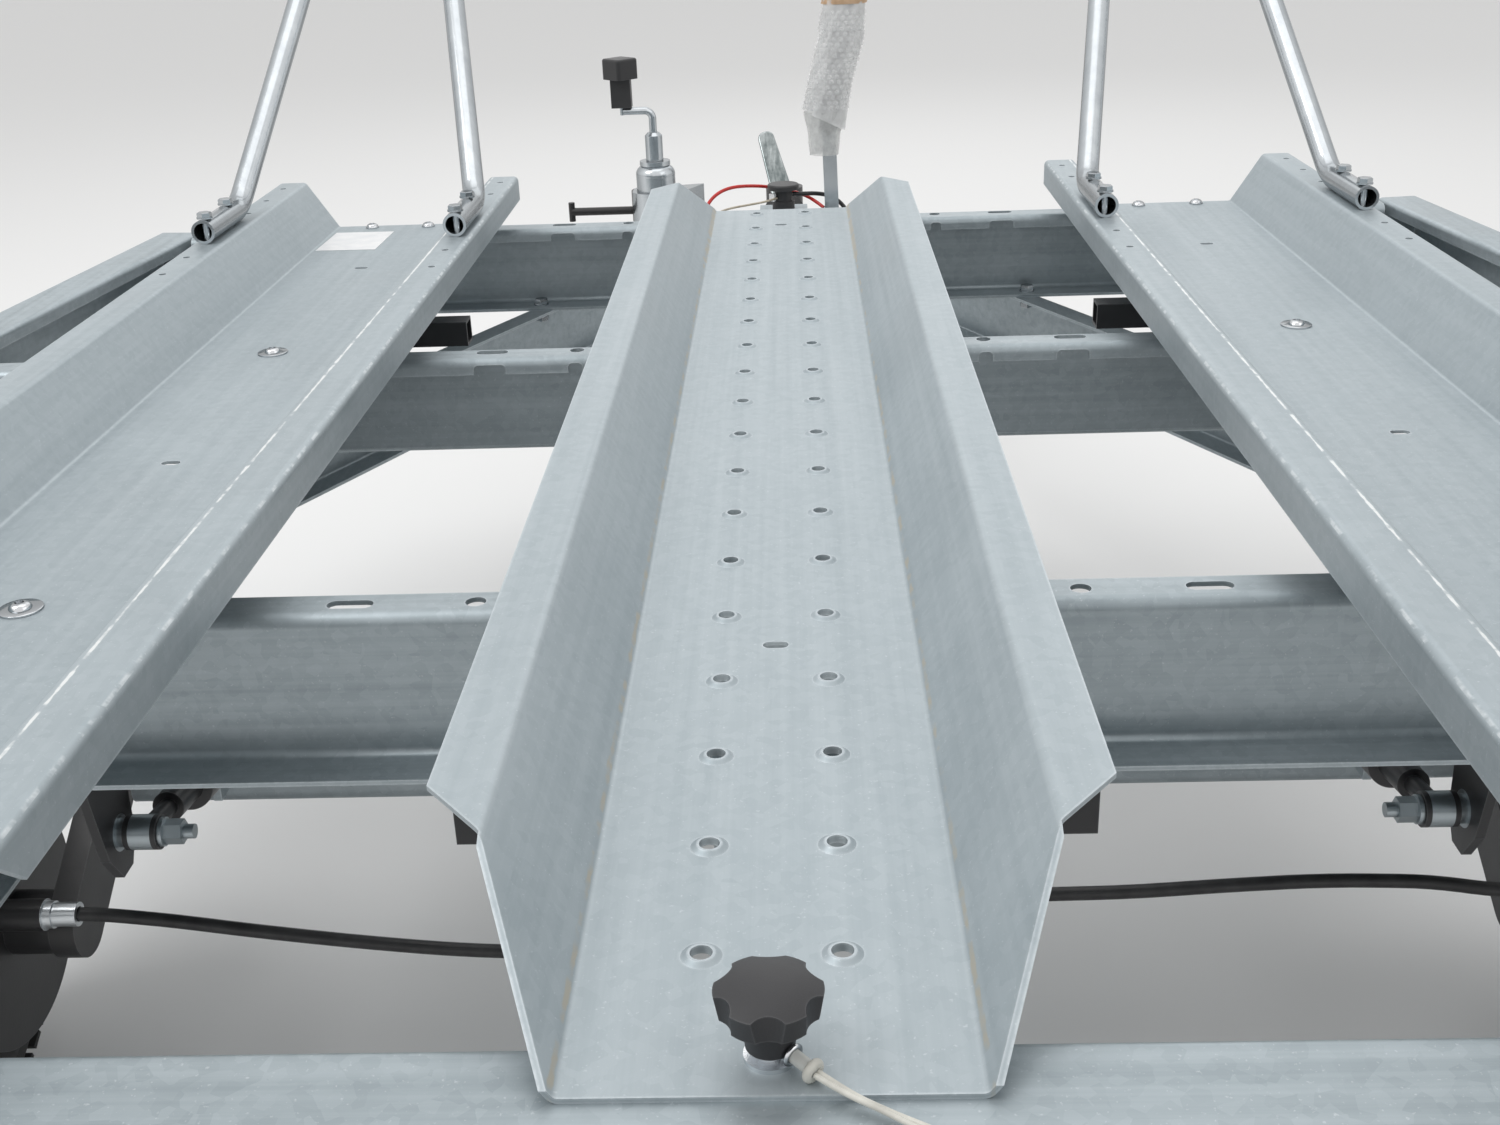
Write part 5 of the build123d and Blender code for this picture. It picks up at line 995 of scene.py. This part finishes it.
class TRAILER_OT_cords(bpy.types.Operator):
    """Red cord, plug cable, beige cord and lanyard, each on its own route"""
    bl_idname = "trailer.cords"
    bl_label = "Cords"

    def execute(self, context):
        for name, (diameter, length, stiffness, lay, end, far_end, points) in CORDS.items():
            data = bpy.data.curves.new(name + "_line", "CURVE")
            data.dimensions = "3D"
            data.bevel_depth = diameter * MM / 2
            data.bevel_resolution = 5
            data.resolution_u = 10
            data.use_fill_caps = True
            spline = data.splines.new("NURBS")
            spline.points.add(len(points) - 1)
            for point, place in zip(spline.points, points):
                point.co = (*at(*place), 1.0)
            spline.order_u = 3
            spline.use_endpoint_u = True
            data.materials.append(MATERIALS[name])
            made = placed(name + "_piece", data)
            route = None
            if name == "lanyard":
                data.bevel_depth = 0.0
                graph = context.evaluated_depsgraph_get()
                line = bpy.data.meshes.new_from_object(made.evaluated_get(graph))
                route = [vertex.co.copy() for vertex in line.vertices]
                bpy.data.objects.remove(made)
                strands = twin_strands(route, diameter * MM)
                made = piece("lanyard_piece", strands, "root", MATERIALS[name])
            else:
                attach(made, "root")
            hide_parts(name)
            pieces = [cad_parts["plug"]] if far_end == "plug" else []
            if name == "beige_cord":
                low, high = ([at(x, y, z) for x, y in TAB_CORNERS] for z in TAB_HEIGHTS)
                tab = skinned("cord_tab", [low, high])
                pieces = [piece("cord_tab", tab, "root", MATERIALS["sticker"])]

        start, end = at(*CRIMP_START), at(*CRIMP_END)
        way = (end - start).normalized()
        for name, place, ring, bead, coat in (
            ("lanyard_eye", start.lerp(end, 0.35), 0.0046, 0.0014, "chrome"),
            ("lanyard_loop", start.lerp(end, 0.92), 0.0040, 0.0024, "lanyard"),
        ):
            profile = [(bead * sin(a), ring + bead * cos(a)) for a in (2 * pi * i / 14 for i in range(14))]
            mesh = turned(name, profile, place, way, 28, loop=True)
            smooth(mesh, 60.0)
            piece(name, mesh, "root", MATERIALS[coat])
        return {"FINISHED"}


class TRAILER_OT_tyres(bpy.types.Operator):
    """Road tyres with grooves, shoulder blocks and ribbed walls"""
    bl_idname = "trailer.tyres"
    bl_label = "Tyres"

    def execute(self, context):
        size = finish()
        crown, bead = TYRE_RADIUS * MM, RIM_RADIUS * MM
        wall = [(-x * MM, bead + height * MM) for x, height in TYRE_WALL]
        wall += [(-x * MM, crown - depth * MM) for x, depth in TYRE_SHOULDER]
        outer = list(wall)
        lip, floor = crown - GROOVE_LIP * MM, crown - size.tread_groove
        wide = GROOVE_HALF * MM
        for middle in (x * MM for x in GROOVES_X):
            outer += [(middle - wide, lip), (middle - wide * GROOVE_FLOOR, floor),
                      (middle + wide * GROOVE_FLOOR, floor), (middle + wide, lip)]
        outer += [(-x, radius) for x, radius in reversed(wall)]
        for side, sign in (("left", -1), ("right", 1)):
            centre = at(sign * WHEEL_X, WHEEL_Y, WHEEL_Z)
            mesh = turned("road_tyre_" + side, outer, centre, (1, 0, 0), 120, loop=True)
            smooth(mesh, 40.0)
            tyre = piece("road_tyre_" + side, mesh, "wheel_" + side, MATERIALS["tyre"])
            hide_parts("tyre_" + side)
            for row, (aside, depth, width) in enumerate(TREAD_ROWS):
                name = "tread_%s_%d" % (side, row)
                mesh = grown(name, bpy.data.meshes.new("nothing"), "tread", {
                    "Blocks": size.tread_blocks, "Radius": crown - depth * MM,
                    "Block": tuple(Vector((*TREAD_BLOCK, width)) * MM),
                    "Centre": tuple(centre + Vector((aside, 0, 0)) * MM), "Finish": MATERIALS["tyre"]})
                piece(name, mesh, "wheel_" + side)
        return {"FINISHED"}


class TRAILER_OT_screws(bpy.types.Operator):
    """Button-head screws on the rails and hexagon bolts through the hoops' feet and the frame"""
    bl_idname = "trailer.screws"
    bl_label = "Screws and bolts"

    def execute(self, context):
        size = finish()
        for name, table, washer in (
            ("washer_screws", WASHER_SCREWS, size.screw_washer),
            ("plain_screws", PLAIN_SCREWS, size.screw_head * 1.1),
        ):
            places = [(at(side * (RAIL_X + x), y, RAIL_FLOOR_Z), UP) for side in (-1, 1) for x, y in table]
            mesh = repeated(name, places, button_screw(size.screw_head, washer), MATERIALS["chrome"])
            piece(name, mesh, "root")

        feet = [side * RAIL_X + foot * FLANGE_HOLE_X for side in (-1, 1) for foot in (-1, 1)]
        on_hoops = [(at(x, y, HOOP_FOOT_TOP), UP) for x in feet for y in HOOP_BOLT_Y]
        on_frame = [(at(side * x, y, z), (0.0, 0.0, facing))
                    for side in (-1, 1) for x, y, z, facing in FRAME_BOLTS]
        for name, places, bolt in (
            ("hoop_bolts", on_hoops, HOOP_BOLT), ("frame_bolts", on_frame, FRAME_BOLT),
        ):
            mesh = repeated(name, places, hex_bolt(*(v * MM for v in bolt)), MATERIALS["zinc"])
            piece(name, mesh, "root")
        return {"FINISHED"}


class TRAILER_OT_sticker(bpy.types.Operator):
    """Blank white sticker on the floor of the left rail"""
    bl_idname = "trailer.sticker"
    bl_label = "Sticker"

    corners = [(-669, 1745), (-582, 1743), (-580, 1859), (-667, 1861)]

    def execute(self, context):
        low = [at(x, y, RAIL_FLOOR_Z + 0.1) for x, y in self.corners]
        high = [at(x, y, RAIL_FLOOR_Z + 0.45) for x, y in self.corners]
        piece("sticker", skinned("sticker", [low, high]), "root", MATERIALS["sticker"])
        return {"FINISHED"}


class TRAILER_OT_wrapping(bpy.types.Operator):
    """Film sleeve and bubble film round the handbrake's grip, and the grip inside them"""
    bl_idname = "trailer.wrapping"
    bl_label = "Wrapping"

    def execute(self, context):
        size = finish()
        low, high = FILM_SECTIONS[0][0], FILM_SECTIONS[-1][0]

        def film_ring(step, inside):
            z = low + step * (high - low) / FILM_STEPS
            x0, x1, depth = between(FILM_SECTIONS, z)
            return oval(x0 + inside, x1 - inside, depth - 2 * inside, FILM_Y, z, 56, 0.05, z / 17)

        def bubble_ring(step, inside):
            ring = []
            for a in (2 * pi * i / BUBBLE_FILM_TURNS for i in range(BUBBLE_FILM_TURNS)):
                edge = BUBBLE_EDGE[0] - BUBBLE_EDGE[1] * cos(a)
                z = edge + (BUBBLE_SECTIONS[-1][0] - edge) * step / BUBBLE_FILM_STEPS
                ring.append(on_bubble_film(a, z, BUBBLE_FILM_WALL * inside)[0])
            return ring

        for name, ring, steps, coat in (
            ("film_sleeve", film_ring, FILM_STEPS, "film"),
            ("bubble_film", bubble_ring, BUBBLE_FILM_STEPS, "bubbles"),
        ):
            made = piece(name, sleeve(name, ring, steps), "root", MATERIALS[coat])
            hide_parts("lever_wrap")

        pitch = size.bubble / MM * BUBBLE_GAP
        spacing = pitch * BUBBLE_ROW_SHARE
        first, last = BUBBLE_ROWS
        places = []
        for row in range(int((last - first) / spacing)):
            z = first + row * spacing
            x0, x1, depth = between(BUBBLE_SECTIONS, z)
            count = int(pi * ((x1 - x0) / 2 + depth / 2) / pitch)
            for i in range(count):
                a = 2 * pi * (i + 0.5 * (row % 2)) / count
                spot, wide, deep = on_bubble_film(a, z)
                places.append((spot, tuple(Vector((cos(a) / wide, sin(a) / deep, 0)).normalized())))
        radius = size.bubble / 2
        dome = [(-0.0006, 0), (-0.0006, radius * 0.98), (radius * 0.28, radius * 0.88),
                (radius * 0.46, radius * 0.55), (radius * 0.52, 0)]
        bubble = turned("bubble", dome, ORIGIN, UP, 10)
        mesh = repeated("film_bubbles", places, bubble, MATERIALS["bubble"])
        piece("film_bubbles", mesh, "root")

        rings = [oval(x0, x1, depth, FILM_Y, z, 40, 0.03) for z, x0, x1, depth in TAPE_SECTIONS]
        mesh = skinned("lever_tape", rings)
        smooth(mesh, 50.0)
        piece("lever_tape", mesh, "root", MATERIALS["tan"])

        rings = []
        for step in range(GRIP_RINGS):
            z = GRIP_LOW + step * GRIP_STEP
            middle = 87 + 39 * max(z - 30, 0) / 260
            swell = (1 + 0.05 * cos(step * 1.6)) * (0.8 if step in (0, GRIP_RINGS - 1) else 1.0)
            half = GRIP_HALF * swell
            rings.append(oval(middle - half, middle + half, GRIP_DEPTH * swell, LEVER_Y + 2, z, 32))
        mesh = skinned("lever_grip", rings)
        smooth(mesh, 50.0)
        piece("lever_grip", mesh, "root", MATERIALS["plastic"])
        return {"FINISHED"}


class TRAILER_OT_stage(bpy.types.Operator):
    """Plain pale floor and soft studio light"""
    bl_idname = "trailer.stage"
    bl_label = "Stage"

    def execute(self, context):
        size = finish()
        mesh = bpy.data.meshes.new("floor")
        corners = ((-1, -1), (1, -1), (1, 1), (-1, 1))
        mesh.from_pydata([(x * FLOOR_REACH, y * FLOOR_REACH, 0) for x, y in corners], [], [(0, 1, 2, 3)])
        floor = placed("floor", mesh)
        material, _, shader = started("Stage floor")
        shader.inputs["Base Color"].default_value = opaque(size.floor_tint)
        shader.inputs["Roughness"].default_value = 0.9
        shader.inputs["Specular IOR Level"].default_value = 0.2
        mesh.materials.append(material)

        for name, place, width, power in LAMPS:
            data = bpy.data.lights.new(name, "AREA")
            data.size = width
            data.energy = power * size.light
            lamp = placed(name, data)
            lamp.location = place
            lamp.rotation_euler = (Vector(LAMP_AIM) - Vector(place)).to_track_quat("-Z", "Y").to_euler()

        world = bpy.data.worlds.new("Studio")
        context.scene.world = world
        world.use_nodes = True
        world.node_tree.nodes.clear()
        tree = Tree(world.node_tree)
        path = tree.node("ShaderNodeLightPath")
        seen = tree.maths("MAXIMUM", path.outputs["Is Camera Ray"], path.outputs["Is Glossy Ray"])
        seen = tree.maths("MAXIMUM", seen, path.outputs["Is Transmission Ray"])
        strength = tree.ramp(seen, 0.0, 1.0, SKY_ON_MATT, 1.0)
        sky = tree.node("ShaderNodeBackground", {"Color": (1, 1, 1, 1), "Strength": strength})
        tree.node("ShaderNodeOutputWorld", {"Surface": sky.outputs[0]})
        return {"FINISHED"}


class TRAILER_PT_panel(bpy.types.Panel):
    """Buttons for the trailer's pieces"""
    bl_idname = "TRAILER_PT_panel"
    bl_label = "Trailer"
    bl_space_type = "VIEW_3D"
    bl_region_type = "UI"
    bl_category = "Trailer"

    def draw(self, context):
        column = self.layout.column()
        for name in TrailerFinish.__annotations__:
            column.prop(finish(), name)
        for operator in OPERATORS:
            column.operator(operator.bl_idname)


OPERATORS = (
    TRAILER_OT_camera, TRAILER_OT_materials, TRAILER_OT_cords, TRAILER_OT_tyres, TRAILER_OT_screws,
    TRAILER_OT_sticker, TRAILER_OT_wrapping, TRAILER_OT_stage,
)
CLASSES = (TrailerFinish, *OPERATORS, TRAILER_PT_panel)


def register():
    for item in CLASSES:
        bpy.utils.register_class(item)
    bpy.types.Scene.trailer_finish = PointerProperty(type=TrailerFinish)


def unregister():
    del bpy.types.Scene.trailer_finish
    for item in reversed(CLASSES):
        bpy.utils.unregister_class(item)


def main():
    """Build every piece in order."""
    register()
    bpy.ops.trailer.camera()
    bpy.ops.trailer.materials()
    bpy.ops.trailer.cords()
    bpy.ops.trailer.tyres()
    bpy.ops.trailer.screws()
    bpy.ops.trailer.sticker()
    bpy.ops.trailer.wrapping()
    bpy.ops.trailer.stage()


if __name__ == "__main__":
    main()
